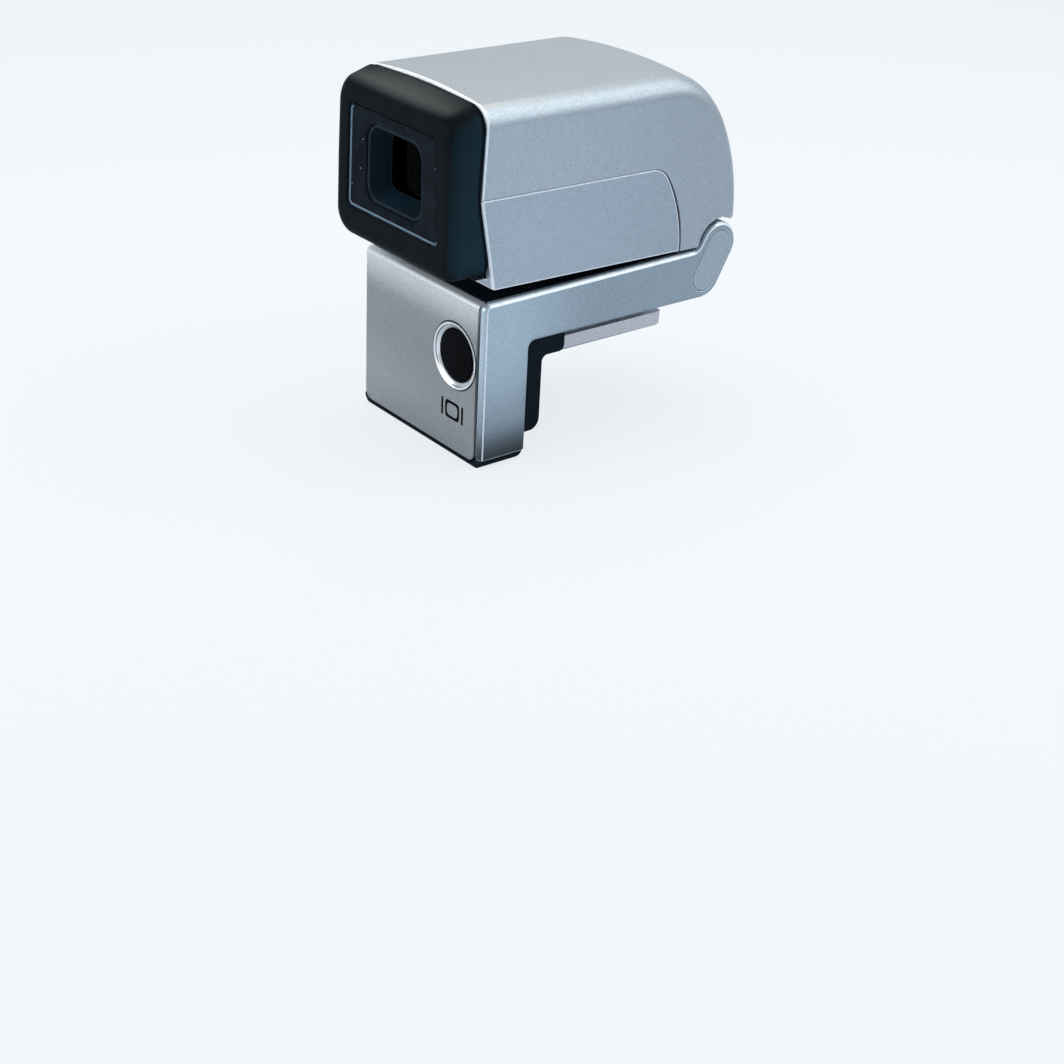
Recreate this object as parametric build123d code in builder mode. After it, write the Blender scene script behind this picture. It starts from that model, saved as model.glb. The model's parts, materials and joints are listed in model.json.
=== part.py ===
from build123d import *
import os
from math import asin, atan2, cos, degrees, radians, sin, sqrt

# Clip-on electronic viewfinder that slides into a camera's accessory shoe and tilts up.
# Frame: +X right, +Y forward away from the eye, +Z up, all in millimetres.
# Origin: centre of the underside of the shoe foot.

# Fits and seams shared by all pieces
overrun = 3.0
seam_gap = 0.1
slip = 0.05
running = 0.03
pin_fit = 0.02
edge_break = 0.25

# Shoe foot, the standard accessory shoe size
foot_width = 18.6
foot_length = 18.0
foot_thick = 2.0
neck_width = 12.5
neck_height = 2.1

# Base: an arm that lies over the shoe and a leg that hangs down behind the camera
base_width = 25.4
base_wall = 1.2
arm_rear_height = 6.1
arm_front_height = 6.7
arm_floor = 1.2
leg_back = 22.85
leg_depth = 7.05
leg_drop = 15.6
cap_height = 1.15
plate_thick = 1.0
plate_gap = 0.18

# Hinge and the ears that carry it
hinge_forward = 15.0
ear_radius = 3.0
ear_rise = 3.95
ear_lead = 2.1
ear_thick = 2.7
hinge_pin_radius = 1.25
knuckle_radius = 3.1
knuckle_length = 3.2
knuckle_gap = 0.15

# Tilting head
head_side_step = 0.1
head_wall = 1.2
head_rear = 23.4
head_length = 41.4
head_height = 22.7
head_lean = 1.6
head_bottom_fall = 0.7
head_rear_gap = 1.75
crown_drop = 0.9
crown_fillet = 2.3
notch_gap = 0.5

# Optics: a rectangular tube on the eye's axis
optic_lift = 0.55
tube_side_room = 2.9
tube_end_room = 2.85
tube_wall = 1.0
tube_back = 22.6
tube_length = 27.6

# Places that follow from the driving sizes
arm_bottom_z = foot_thick + neck_height
arm_floor_z = arm_bottom_z + arm_floor
arm_rear_z = arm_bottom_z + arm_rear_height
arm_front_z = arm_bottom_z + arm_front_height
leg_rear_y = -leg_back
leg_front_y = leg_rear_y + leg_depth
leg_bottom_z = arm_bottom_z - leg_drop
cap_top_z = leg_bottom_z + cap_height
base_half = base_width / 2
base_inner = base_half - base_wall
hinge_y = hinge_forward
ear_low_y = hinge_y - ear_lead
ear_low_z = arm_bottom_z + ear_radius
hinge_z = ear_low_z + ear_rise
ear_inner = base_half - ear_thick
knuckle_outer = ear_inner - knuckle_gap
knuckle_inner = knuckle_outer - knuckle_length
head_half = base_half - head_side_step
head_width = 2 * head_half
head_inner = head_half - head_wall
head_rear_y = -head_rear
head_front_y = head_rear_y + head_length
head_bottom_z = arm_rear_z + head_rear_gap
head_top_z = head_bottom_z + head_height
head_bottom_y = head_rear_y + head_lean
notch_radius = ear_radius + notch_gap
floor_slope = head_bottom_fall / (hinge_y - head_bottom_y)
optic_z = head_bottom_z + head_height / 2 + optic_lift
tube_width = 2 * (head_inner - tube_side_room)
tube_height = head_height - 2 * (head_wall + tube_end_room)
tube_rear_y = -tube_back
tube_front_y = tube_rear_y + tube_length
bore_width = tube_width - 2 * tube_wall
bore_height = tube_height - 2 * tube_wall

# Front curve of the head as shares of its length and height, read from the brow downwards
brow_start_shares = (0.710, 0.0485)
brow_end_shares = (0.838, 0.1454)
face_shares = (0.930, 0.3956)
lip_shares = (1.0, 0.9009)
crown_brow_shares = (0.45, 0.7)
crown_face_shares = (0.8, 0.3)
crown_lip_share = 0.5
inset_bend_shares = (0.7, 0.75)
inset_face_shares = (0.95, 0.35)

# Cross recess in a screw's head, as shares of the head's radius
recess_width_share = 0.28
recess_length_share = 1.3


def at_x(x):
    """Plane across X, drawn in (y, z), whose normal is +X."""
    return Plane.YZ.offset(x)


def at_y(y):
    """Plane across Y, drawn in (x, z), whose normal is -Y."""
    return Plane.XZ.offset(-y)


def at_z(z):
    """Plane across Z, drawn in (x, y), whose normal is +Z."""
    return Plane.XY.offset(z)


def floor_z(y):
    """Height of the head's underside at y."""
    return head_bottom_z - floor_slope * (y - head_bottom_y)


def arm_top_z(y):
    """Height of the arm's upper edge at y."""
    return arm_rear_z + (arm_front_z - arm_rear_z) * (y - leg_rear_y) / (ear_low_y - leg_rear_y)


def roof_z(y):
    """Height of the head's top line at y, in the middle of its width."""
    fall = brow_start_shares[1] * head_height / (brow_start_shares[0] * head_length)
    return head_top_z - fall * (y - head_rear_y)


def outline_point(shares):
    """Point of the head's front curve, from shares of its length and height."""
    return (head_rear_y + shares[0] * head_length, head_top_z - shares[1] * head_height)


def head_outline(plane, drop, inset=0):
    """Side view of the head, lowered by the crown's drop; an inset gives the hollow, open at the rear."""
    brow_y, brow_z = outline_point(brow_start_shares)
    bend_y, bend_z = outline_point(brow_end_shares)
    face_y, face_z = outline_point(face_shares)
    lip_y, lip_z = outline_point(lip_shares)
    bend_y -= crown_brow_shares[0] * drop + inset_bend_shares[0] * inset
    bend_z -= crown_brow_shares[1] * drop + inset_bend_shares[1] * inset
    face_y -= crown_face_shares[0] * drop + inset_face_shares[0] * inset
    face_z -= crown_face_shares[1] * drop + inset_face_shares[1] * inset
    lip_y -= crown_lip_share * drop + inset
    top_rear_y = head_rear_y - overrun if inset else head_rear_y
    low_rear_y = head_rear_y - overrun if inset else head_bottom_y
    with BuildSketch(plane) as outline:
        with BuildLine():
            top = Line((top_rear_y, roof_z(top_rear_y) - drop - inset), (brow_y, brow_z - drop - inset))
            brow = TangentArc(top @ 1, (bend_y, bend_z), tangent=top % 1)
            face = TangentArc(brow @ 1, (face_y, face_z), tangent=brow % 1)
            front = TangentArc(face @ 1, (lip_y, lip_z + inset), tangent=face % 1)
            Polyline(
                front @ 1,
                (hinge_y - inset, lip_z + inset),
                (hinge_y - inset, floor_z(hinge_y) + inset),
                (low_rear_y, floor_z(head_bottom_y) + inset),
                top @ 0,
            )
        make_face()
    return outline.sketch


def soft_frame(plane, width, low_z, high_z, corner, crown):
    """Rounded rectangle with an arched top edge."""
    half = width / 2
    with BuildSketch(plane) as frame:
        with BuildLine():
            Polyline((half, high_z - crown), (half, low_z), (-half, low_z), (-half, high_z - crown))
            ThreePointArc((-half, high_z - crown), (0, high_z), (half, high_z - crown))
        make_face()
        fillet(frame.vertices(), corner)
    return frame.sketch


def box_between(low, high):
    """Plain block between two corners, for adding to or cutting from a piece."""
    with BuildPart() as block:
        with BuildSketch(at_z(low[2])):
            with BuildLine():
                Polyline(
                    (low[0], low[1]), (high[0], low[1]), (high[0], high[1]), (low[0], high[1]), close=True
                )
            make_face()
        extrude(amount=high[2] - low[2])
    return block.part


def cut_lens(width, height, middle_y, thick, rear_sag, front_sag):
    """Lens on the eye's axis, cut to a rectangle, with a bulge or a hollow on each side."""
    reach = sqrt(width**2 + height**2) / 2
    rear_y = middle_y - thick / 2
    front_y = middle_y + thick / 2
    with BuildPart() as lens:
        with BuildSketch(Plane.YZ) as profile:
            with BuildLine():
                rim = Line((rear_y, optic_z + reach), (front_y, optic_z + reach))
                front = ThreePointArc(
                    rim @ 1, (front_y + front_sag, optic_z), (front_y, optic_z - reach)
                )
                Line(front @ 1, (rear_y, optic_z - reach))
                ThreePointArc((rear_y, optic_z - reach), (rear_y - rear_sag, optic_z), rim @ 0)
            make_face()
            with Locations((middle_y, optic_z - 2 * reach)):
                Rectangle(4 * reach, 4 * reach, mode=Mode.SUBTRACT)
        revolve(axis=Axis((0, 0, optic_z), (0, 1, 0)), revolution_arc=360)
        with BuildSketch(at_y(middle_y)):
            with Locations((0, optic_z)):
                Rectangle(width, height)
        extrude(amount=4 * reach, both=True, mode=Mode.INTERSECT)
    return lens.part


def screw(place, axis, head_radius, head_height, shank_radius, shank_length):
    """Cross-head screw whose head's outer face is at place and whose shank runs along axis."""
    slot_width = recess_width_share * head_radius
    slot_length = recess_length_share * head_radius
    with BuildPart() as fastener:
        with BuildSketch(Plane(origin=place, z_dir=axis)):
            Circle(head_radius)
        extrude(amount=head_height)
        with BuildSketch(Plane(origin=place, z_dir=axis)):
            Circle(shank_radius)
        extrude(amount=head_height + shank_length)
        with BuildSketch(Plane(origin=place, z_dir=axis)):
            Rectangle(slot_length, slot_width)
            Rectangle(slot_width, slot_length)
        extrude(amount=head_height / 2, mode=Mode.SUBTRACT)
    return fastener.part


os.makedirs("parts", exist_ok=True)

# Head casing, made whole and then split along its seam
seam_rear_share = 0.5
seam_slope_share = 0.014
seam_corner_share = 0.624
seam_turn_shares = (0.6908, 0.586)
seam_foot_share = 0.760
post_radius = 1.3
post_inset = 1.45
post_side = head_inner - post_inset
post_rear_reach = 5.6
post_front_back = 4.0
post_rear_y = tube_rear_y + post_rear_reach
post_front_y = tube_front_y - post_front_back
post_hole_radius = 0.62
post_hole_depth = 4.5
head_screw_radius = 1.2
head_screw_head = 0.5
head_screw_shank = 0.6
head_screw_length = 3.6
head_screw_sink = 0.12
dial_reach = 9.3
dial_y = tube_rear_y + dial_reach
dial_rise = 6.6
dial_radius = 3.0
dial_sink = 0.6
dial_proud = 0.5
dial_shaft_radius = 1.0
dial_z = head_bottom_z + dial_rise
dial_pocket_gap = 0.12
post_places = [(y, side * post_side) for y in (post_rear_y, post_front_y) for side in (-1, 1)]

with BuildPart() as head_casing:
    loft(
        sections=[
            head_outline(at_x(-head_half), crown_drop),
            head_outline(at_x(0), 0),
            head_outline(at_x(head_half), crown_drop),
        ]
    )
    side_edges = (
        head_casing.edges()
        .filter_by(lambda edge: abs(abs(edge.center().X) - head_half) < edge_break)
        .filter_by(lambda edge: edge.center().Y > head_bottom_y + edge_break)
        .filter_by(lambda edge: edge.center().Z > outline_point(lip_shares)[1] + edge_break)
    )
    fillet(side_edges, crown_fillet)
    extrude(
        head_outline(at_x(0), crown_drop, head_wall), amount=head_inner, both=True, mode=Mode.SUBTRACT
    )
    with BuildSketch(at_x(0)):
        with Locations((hinge_y, hinge_z)):
            Circle(notch_radius)
    extrude(amount=head_half + overrun, both=True, mode=Mode.SUBTRACT)
    with BuildSketch(at_x(-head_half + dial_sink)):
        with Locations((dial_y, dial_z)):
            Circle(dial_radius + dial_pocket_gap)
    extrude(amount=-overrun, mode=Mode.SUBTRACT)
    with BuildSketch(at_x(-head_half - overrun)):
        with Locations((dial_y, dial_z)):
            Circle(dial_shaft_radius + running)
    extrude(amount=head_wall + 2 * overrun, mode=Mode.SUBTRACT)


def seam_region(plane, gap):
    """Side view of what lies under the seam, moved outwards by gap."""
    seam_z = head_top_z - seam_rear_share * head_height + gap
    corner_y = head_rear_y + seam_corner_share * head_length
    corner_z = seam_z - seam_slope_share * (corner_y - head_rear_y)
    turn_y = head_rear_y + seam_turn_shares[0] * head_length + gap
    turn_z = head_top_z - seam_turn_shares[1] * head_height + gap
    foot_y = head_rear_y + seam_foot_share * head_length + gap
    foot_z = floor_z(foot_y)
    with BuildSketch(plane) as region:
        with BuildLine():
            ridge = Line((head_rear_y - overrun, seam_z), (corner_y, corner_z))
            bend = TangentArc(ridge @ 1, (turn_y, turn_z), tangent=ridge % 1)
            drop = TangentArc(bend @ 1, (foot_y, foot_z), tangent=bend % 1)
            Polyline(
                drop @ 1,
                (foot_y, foot_z - overrun),
                (head_rear_y - overrun, foot_z - overrun),
                ridge @ 0,
            )
        make_face()
    return region.sketch


# Upper cover: top, front and upper sides, with posts for the casing screws
with BuildPart() as top_cover:
    add(head_casing.part)
    extrude(seam_region(at_x(0), seam_gap), amount=head_half + overrun, both=True, mode=Mode.SUBTRACT)
    for post_y, post_x in post_places:
        post_foot_z = floor_z(post_y) + head_wall + slip
        with BuildSketch(at_z(post_foot_z)):
            with Locations((post_x, post_y)):
                Circle(post_radius)
        extrude(amount=roof_z(post_y) - crown_drop - head_wall / 2 - post_foot_z)
        with BuildSketch(at_z(post_foot_z)):
            with Locations((post_x, post_y)):
                Circle(post_hole_radius)
        extrude(amount=post_hole_depth, mode=Mode.SUBTRACT)
top_cover.part.label = "top_cover"
export_step(top_cover.part, "parts/top_cover.step")

# Lower housing: lower sides and floor, with the two hinge knuckles on their webs
web_reach = 11.0
web_height = 1.8
shroud_wall = 0.5
shroud_low_angle = -35.0
shroud_high_angle = 200.0
bush_radius = 2.1
flex_low_x = 2.4
flex_side_room = 0.85
flex_width = knuckle_inner - flex_side_room - flex_low_x
flex_room = 0.2
flex_thick = 0.15
ribbon_loop_radius = 1.2
ribbon_loop_turn = 180.0
ribbon_rise = 3.2
entry_back = 6.5
flex_tail = 1.0
ribbon_cradle_radius = 2.1
ribbon_cradle_turn = 80.0
seam_foot_y = head_rear_y + seam_foot_share * head_length
web_low_z = floor_z(seam_foot_y) + head_wall + slip

with BuildPart() as lower_housing:
    add(head_casing.part)
    extrude(seam_region(at_x(0), 0), amount=head_half + overrun, both=True, mode=Mode.INTERSECT)
    for knuckle_x in (-knuckle_outer, knuckle_inner):
        with BuildSketch(at_x(knuckle_x)):
            with BuildLine():
                Polyline(
                    (hinge_y - web_reach, web_low_z - head_wall / 2),
                    (hinge_y - web_reach, web_low_z + web_height),
                    (hinge_y, hinge_z + knuckle_radius),
                    (hinge_y, web_low_z),
                    (seam_foot_y - slip, web_low_z),
                    (seam_foot_y - slip, web_low_z - head_wall / 2),
                    close=True,
                )
            make_face()
            with Locations((hinge_y, hinge_z)):
                Circle(knuckle_radius)
        extrude(amount=knuckle_length)
    with BuildSketch(at_x(-knuckle_inner)):
        with Locations((hinge_y, hinge_z)):
            Circle(knuckle_radius)
            Circle(knuckle_radius - shroud_wall, mode=Mode.SUBTRACT)
        with BuildLine():
            Polyline(
                (hinge_y, hinge_z),
                (
                    hinge_y + 2 * knuckle_radius * cos(radians(shroud_low_angle)),
                    hinge_z + 2 * knuckle_radius * sin(radians(shroud_low_angle)),
                ),
                (hinge_y, hinge_z - 3 * knuckle_radius),
                (
                    hinge_y + 2 * knuckle_radius * cos(radians(shroud_high_angle)),
                    hinge_z + 2 * knuckle_radius * sin(radians(shroud_high_angle)),
                ),
                close=True,
            )
        make_face(mode=Mode.SUBTRACT)
    extrude(amount=2 * knuckle_inner)
    with BuildSketch(at_x(0)):
        with Locations((hinge_y, hinge_z)):
            Circle(bush_radius + pin_fit)
    extrude(amount=knuckle_outer + overrun, both=True, mode=Mode.SUBTRACT)
    add(
        box_between(
            (
                flex_low_x - flex_room,
                hinge_y - knuckle_radius - overrun,
                hinge_z + ribbon_cradle_radius - 2 * flex_room,
            ),
            (
                flex_low_x + flex_width + flex_room,
                hinge_y - flex_room,
                hinge_z + ribbon_cradle_radius + 2 * flex_room,
            ),
        ),
        mode=Mode.SUBTRACT,
    )
    for post_y, post_x in post_places:
        with BuildSketch(at_z(floor_z(post_y) - overrun)):
            with Locations((post_x, post_y)):
                Circle(head_screw_radius + slip)
        extrude(amount=overrun + head_screw_sink + head_screw_head, mode=Mode.SUBTRACT)
        with BuildSketch(at_z(floor_z(post_y))):
            with Locations((post_x, post_y)):
                Circle(head_screw_shank + slip)
        extrude(amount=overrun, mode=Mode.SUBTRACT)
lower_housing.part.label = "lower_housing"
export_step(lower_housing.part, "parts/lower_housing.step")

# Four screws that hold the lower housing to the upper cover's posts
with BuildPart() as head_screws:
    for post_y, post_x in post_places:
        add(
            screw(
                (post_x, post_y, floor_z(post_y) + head_screw_sink),
                (0, 0, 1),
                head_screw_radius,
                head_screw_head,
                head_screw_shank,
                head_screw_length,
            )
        )
head_screws.part.label = "head_screws"
export_step(head_screws.part, "parts/head_screws.step")

# Bushes in the knuckles, which turn on the hinge pins
with BuildPart() as hinge_bushes:
    for bush_x in (-knuckle_outer, knuckle_inner):
        with BuildSketch(at_x(bush_x)):
            with Locations((hinge_y, hinge_z)):
                Circle(bush_radius)
                Circle(hinge_pin_radius + running, mode=Mode.SUBTRACT)
        extrude(amount=knuckle_length)
hinge_bushes.part.label = "hinge_bushes"
export_step(hinge_bushes.part, "parts/hinge_bushes.step")

# Eyecup: a soft frame round the eyepiece, open in the middle
eyecup_gap = 0.2
eyecup_depth = 4.45
eyecup_side_inset = 0.15
eyecup_side_taper = 0.3
eyecup_low_inset = 1.1
eyecup_high_inset = 0.3
eyecup_taper_low = 0.25
eyecup_taper_high = 1.1
eyecup_corner = 3.0
eyecup_crown = 0.6
eyecup_round = 1.5
eyecup_lip_round = 0.3
bezel_side_room = 3.5
bezel_end_room = 4.9
bezel_corner = 0.9
bezel_recess = 0.5
bezel_slip = 0.04
bezel_width = head_width - 2 * bezel_side_room
bezel_height = head_height - 2 * bezel_end_room
eyecup_front_width = head_width - 2 * eyecup_side_inset
eyecup_rear_width = eyecup_front_width - 2 * eyecup_side_taper
eyecup_front_y = head_rear_y - eyecup_gap
eyecup_rear_y = eyecup_front_y - eyecup_depth

with BuildPart() as eyecup:
    loft(
        sections=[
            soft_frame(
                at_y(eyecup_front_y),
                eyecup_front_width,
                head_bottom_z + eyecup_low_inset,
                head_top_z - eyecup_high_inset,
                eyecup_corner,
                eyecup_crown,
            ),
            soft_frame(
                at_y(eyecup_rear_y),
                eyecup_rear_width,
                head_bottom_z + eyecup_low_inset + eyecup_taper_low,
                head_top_z - eyecup_high_inset - eyecup_taper_high,
                eyecup_corner,
                eyecup_crown,
            ),
        ]
    )
    fillet(eyecup.faces().sort_by(Axis.Y)[0].edges(), eyecup_round)
    with BuildSketch(at_y(eyecup_front_y + overrun)):
        with Locations((0, optic_z)):
            RectangleRounded(
                bezel_width + 2 * bezel_slip, bezel_height + 2 * bezel_slip, bezel_corner + bezel_slip
            )
    extrude(amount=eyecup_depth + 2 * overrun, mode=Mode.SUBTRACT)
    rear_face = eyecup.faces().filter_by(Axis.Y).sort_by(Axis.Y)[0]
    fillet(rear_face.inner_wires()[0].edges(), eyecup_lip_round)
eyecup.part.label = "eyecup"
export_step(eyecup.part, "parts/eyecup.step")

# Eyepiece bezel: a dished glossy panel with a funnel down to the window
dish_margin = 0.9
dish_depth = 0.7
dish_width = 3.7
dish_height = 2.0
opening_corner = 2.0
throat_taper = 0.7
throat_corner = 1.5
window_side_lap = 1.3
window_end_lap = 1.15
window_thick = 1.1
window_corner = 1.0
opening_width = bezel_width - 2 * dish_width
opening_height = bezel_height - 2 * dish_height
throat_width = opening_width - 2 * throat_taper
throat_height = opening_height - 2 * throat_taper
window_width = throat_width + 2 * window_side_lap
window_height = throat_height + 2 * window_end_lap
bezel_rear_y = eyecup_rear_y + bezel_recess
bezel_front_y = eyecup_front_y
window_rear_y = bezel_front_y - window_thick

with BuildPart() as eyepiece_bezel:
    with BuildSketch(at_y(bezel_front_y)):
        with Locations((0, optic_z)):
            RectangleRounded(bezel_width, bezel_height, bezel_corner)
    extrude(amount=bezel_front_y - bezel_rear_y)
    with BuildSketch(at_y(bezel_rear_y)) as dish_rim:
        with Locations((0, optic_z)):
            RectangleRounded(
                bezel_width - 2 * dish_margin, bezel_height - 2 * dish_margin, opening_corner
            )
    with BuildSketch(at_y(bezel_rear_y + dish_depth)) as dish_foot:
        with Locations((0, optic_z)):
            RectangleRounded(opening_width, opening_height, opening_corner)
    loft(sections=[dish_rim.sketch, dish_foot.sketch], mode=Mode.SUBTRACT)
    with BuildSketch(at_y(window_rear_y)) as throat:
        with Locations((0, optic_z)):
            RectangleRounded(throat_width, throat_height, throat_corner)
    loft(sections=[dish_foot.sketch, throat.sketch], mode=Mode.SUBTRACT)
    with BuildSketch(at_y(bezel_front_y)):
        with Locations((0, optic_z)):
            RectangleRounded(window_width, window_height, window_corner)
    extrude(amount=window_thick, mode=Mode.SUBTRACT)
eyepiece_bezel.part.label = "eyepiece_bezel"
export_step(eyepiece_bezel.part, "parts/eyepiece_bezel.step")

# Protective window behind the bezel
with BuildPart() as eyepiece_window:
    with BuildSketch(at_y(bezel_front_y)):
        with Locations((0, optic_z)):
            RectangleRounded(window_width - 2 * slip, window_height - 2 * slip, window_corner - slip)
    extrude(amount=window_thick)
eyepiece_window.part.label = "eyepiece_window"
export_step(eyepiece_window.part, "parts/eyepiece_window.step")

# Rear frame: closes the casing, backs the eyecup and holds the tube's rear end
frame_depth = 3.6
frame_plate = tube_rear_y - bezel_front_y
frame_view_lap = 0.4
frame_view_width = window_width - 2 * frame_view_lap
frame_view_height = window_height - 2 * frame_view_lap
with BuildPart() as rear_frame:
    frame_low_z = floor_z(head_bottom_y) + head_wall + slip
    frame_high_z = roof_z(bezel_front_y + frame_depth) - crown_drop - head_wall - slip
    add(
        box_between(
            (-head_inner + slip, bezel_front_y, frame_low_z),
            (head_inner - slip, bezel_front_y + frame_depth, frame_high_z),
        )
    )
    with BuildSketch(at_y(tube_rear_y)):
        with Locations((0, optic_z)):
            Rectangle(tube_width + 2 * slip, tube_height + 2 * slip)
    extrude(amount=-overrun, mode=Mode.SUBTRACT)
    with BuildSketch(at_y(bezel_front_y - overrun)):
        with Locations((0, optic_z)):
            Rectangle(frame_view_width, frame_view_height)
    extrude(amount=-(frame_plate + 2 * overrun), mode=Mode.SUBTRACT)
rear_frame.part.label = "rear_frame"
export_step(rear_frame.part, "parts/rear_frame.step")

# Optics tube: carries the sliding lenses, the fixed lens and the display
tube_foot_width = 4.0
tube_foot_length = 3.0
crank_radius = 1.75
with BuildPart() as optics_tube:
    with BuildSketch(at_y(tube_rear_y)):
        with Locations((0, optic_z)):
            Rectangle(tube_width, tube_height)
            Rectangle(bore_width, bore_height, mode=Mode.SUBTRACT)
    extrude(amount=-tube_length)
    for foot_y in (post_rear_y, post_front_y):
        add(
            box_between(
                (
                    -tube_foot_width / 2,
                    foot_y - tube_foot_length / 2,
                    floor_z(foot_y - tube_foot_length / 2) + head_wall + slip,
                ),
                (tube_foot_width / 2, foot_y + tube_foot_length / 2, optic_z - bore_height / 2),
            )
        )
    with BuildSketch(at_x(-tube_width / 2 - overrun)):
        with Locations((dial_y, dial_z)):
            Circle(crank_radius + running)
    extrude(amount=tube_wall + overrun, mode=Mode.SUBTRACT)
optics_tube.part.label = "optics_tube"
export_step(optics_tube.part, "parts/optics_tube.step")

# Sliding lens carrier with its two lenses and their spacer ring
carrier_back = 2.1
carrier_length = 9.0
carrier_wall = 1.0
crank_throw = 1.15
crank_pin_radius = 0.5
crank_pin_slip = 0.06
crank_swing = 45
lens_thick = 2.2
rear_lens_thick = 3.0
ring_thick = 0.9
ring_width = 0.6
lens_sag = 0.45
carrier_rear_y = tube_rear_y + carrier_back
carrier_width = bore_width - 2 * slip
carrier_height = bore_height - 2 * slip
lens_width = carrier_width - 2 * carrier_wall - 2 * slip
lens_height = carrier_height - 2 * carrier_wall - 2 * slip
carrier_lip = 0.5
rear_lens_y = carrier_rear_y + carrier_lip + rear_lens_thick / 2
spacer_y = rear_lens_y + rear_lens_thick / 2
front_lens_y = spacer_y + ring_thick + lens_thick / 2
slot_half_height = crank_pin_radius + 2 * crank_pin_slip

with BuildPart() as lens_carrier:
    with BuildSketch(at_y(carrier_rear_y)):
        with Locations((0, optic_z)):
            Rectangle(carrier_width, carrier_height)
            Rectangle(
                lens_width - 2 * carrier_lip, lens_height - 2 * carrier_lip, mode=Mode.SUBTRACT
            )
    extrude(amount=-carrier_length)
    with BuildSketch(at_y(carrier_rear_y + carrier_lip)):
        with Locations((0, optic_z)):
            Rectangle(lens_width + 2 * slip, lens_height + 2 * slip)
    extrude(amount=-carrier_length, mode=Mode.SUBTRACT)
    slot_low_z = dial_z + crank_throw * cos(radians(crank_swing)) - slot_half_height
    slot_high_z = dial_z + crank_throw + slot_half_height
    add(
        box_between(
            (-carrier_width / 2 - overrun, dial_y - crank_pin_radius - crank_pin_slip, slot_low_z),
            (
                -carrier_width / 2 + carrier_wall + slip,
                dial_y + crank_pin_radius + crank_pin_slip,
                slot_high_z,
            ),
        ),
        mode=Mode.SUBTRACT,
    )
lens_carrier.part.label = "lens_carrier"
export_step(lens_carrier.part, "parts/lens_carrier.step")

with BuildPart() as eye_lens_rear:
    rear_lens_rim = rear_lens_thick - 2 * lens_sag
    add(cut_lens(lens_width, lens_height, rear_lens_y, rear_lens_rim, lens_sag, lens_sag))
eye_lens_rear.part.label = "eye_lens_rear"
export_step(eye_lens_rear.part, "parts/eye_lens_rear.step")

with BuildPart() as lens_spacer:
    with BuildSketch(at_y(spacer_y)):
        with Locations((0, optic_z)):
            Rectangle(lens_width, lens_height)
            Rectangle(lens_width - 2 * ring_width, lens_height - 2 * ring_width, mode=Mode.SUBTRACT)
    extrude(amount=-ring_thick)
lens_spacer.part.label = "lens_spacer"
export_step(lens_spacer.part, "parts/lens_spacer.step")

with BuildPart() as eye_lens_front:
    add(cut_lens(lens_width, lens_height, front_lens_y, lens_thick, -lens_sag, -lens_sag))
eye_lens_front.part.label = "eye_lens_front"
export_step(eye_lens_front.part, "parts/eye_lens_front.step")

# Dioptre dial on the left side: a knurled cap, a shaft, a crank disc and its offset pin
knurl_count = 30
knurl_depth = 0.14
knurl_width = 0.3
crank_clear = 0.06
with BuildPart() as dioptre_dial:
    with BuildSketch(at_x(-head_half - dial_proud)):
        with Locations((dial_y, dial_z)):
            Circle(dial_radius)
            with PolarLocations(dial_radius, knurl_count):
                Rectangle(2 * knurl_depth, knurl_width, mode=Mode.SUBTRACT)
    extrude(amount=dial_proud + dial_sink - slip)
    with BuildSketch(at_x(-head_half)):
        with Locations((dial_y, dial_z)):
            Circle(dial_shaft_radius)
    extrude(amount=head_half - tube_width / 2)
    with BuildSketch(at_x(-tube_width / 2 - slip)):
        with Locations((dial_y, dial_z)):
            Circle(crank_radius)
    extrude(amount=tube_wall + slip - crank_clear)
    with BuildSketch(at_x(-tube_width / 2)):
        with Locations((dial_y, dial_z + crank_throw)):
            Circle(crank_pin_radius)
    extrude(amount=tube_wall + carrier_wall)
dioptre_dial.part.label = "dioptre_dial"
export_step(dioptre_dial.part, "parts/dioptre_dial.step")

# Fixed lens, mask and display stack in the front half of the tube
field_lens_thick = 2.6
field_lens_sag = 0.5
mask_thick = 0.6
mask_border = 1.5
gasket_thick = 0.8
gasket_border = 1.1
panel_thick = 1.2
diffuser_thick = 0.5
guide_thick = 1.2
holder_wall = 1.1
board_thick = 0.6
led_size = 1.2
led_thick = 0.5
stack_front_y = tube_front_y - board_thick
guide_y = stack_front_y - guide_thick
diffuser_y = guide_y - diffuser_thick
panel_y = diffuser_y - panel_thick
gasket_y = panel_y - gasket_thick
mask_y = gasket_y - mask_thick
holder_length = stack_front_y - mask_y
field_lens_y = mask_y - field_lens_sag - slip - field_lens_thick / 2
fit_width = bore_width - 2 * slip
fit_height = bore_height - 2 * slip
panel_width = fit_width - 2 * holder_wall - 2 * slip
panel_height = fit_height - 2 * holder_wall - 2 * slip
mask_view_width = panel_width - 2 * mask_border
mask_view_height = panel_height - 2 * mask_border

with BuildPart() as field_lens:
    add(cut_lens(fit_width, fit_height, field_lens_y, field_lens_thick, field_lens_sag, field_lens_sag))
field_lens.part.label = "field_lens"
export_step(field_lens.part, "parts/field_lens.step")

with BuildPart() as display_holder:
    with BuildSketch(at_y(mask_y)):
        with Locations((0, optic_z)):
            Rectangle(fit_width, fit_height)
            Rectangle(panel_width + 2 * slip, panel_height + 2 * slip, mode=Mode.SUBTRACT)
    extrude(amount=-holder_length)
display_holder.part.label = "display_holder"
export_step(display_holder.part, "parts/display_holder.step")

with BuildPart() as field_mask:
    with BuildSketch(at_y(mask_y)):
        with Locations((0, optic_z)):
            Rectangle(panel_width, panel_height)
            Rectangle(mask_view_width, mask_view_height, mode=Mode.SUBTRACT)
    extrude(amount=-mask_thick)
field_mask.part.label = "field_mask"
export_step(field_mask.part, "parts/field_mask.step")

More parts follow.
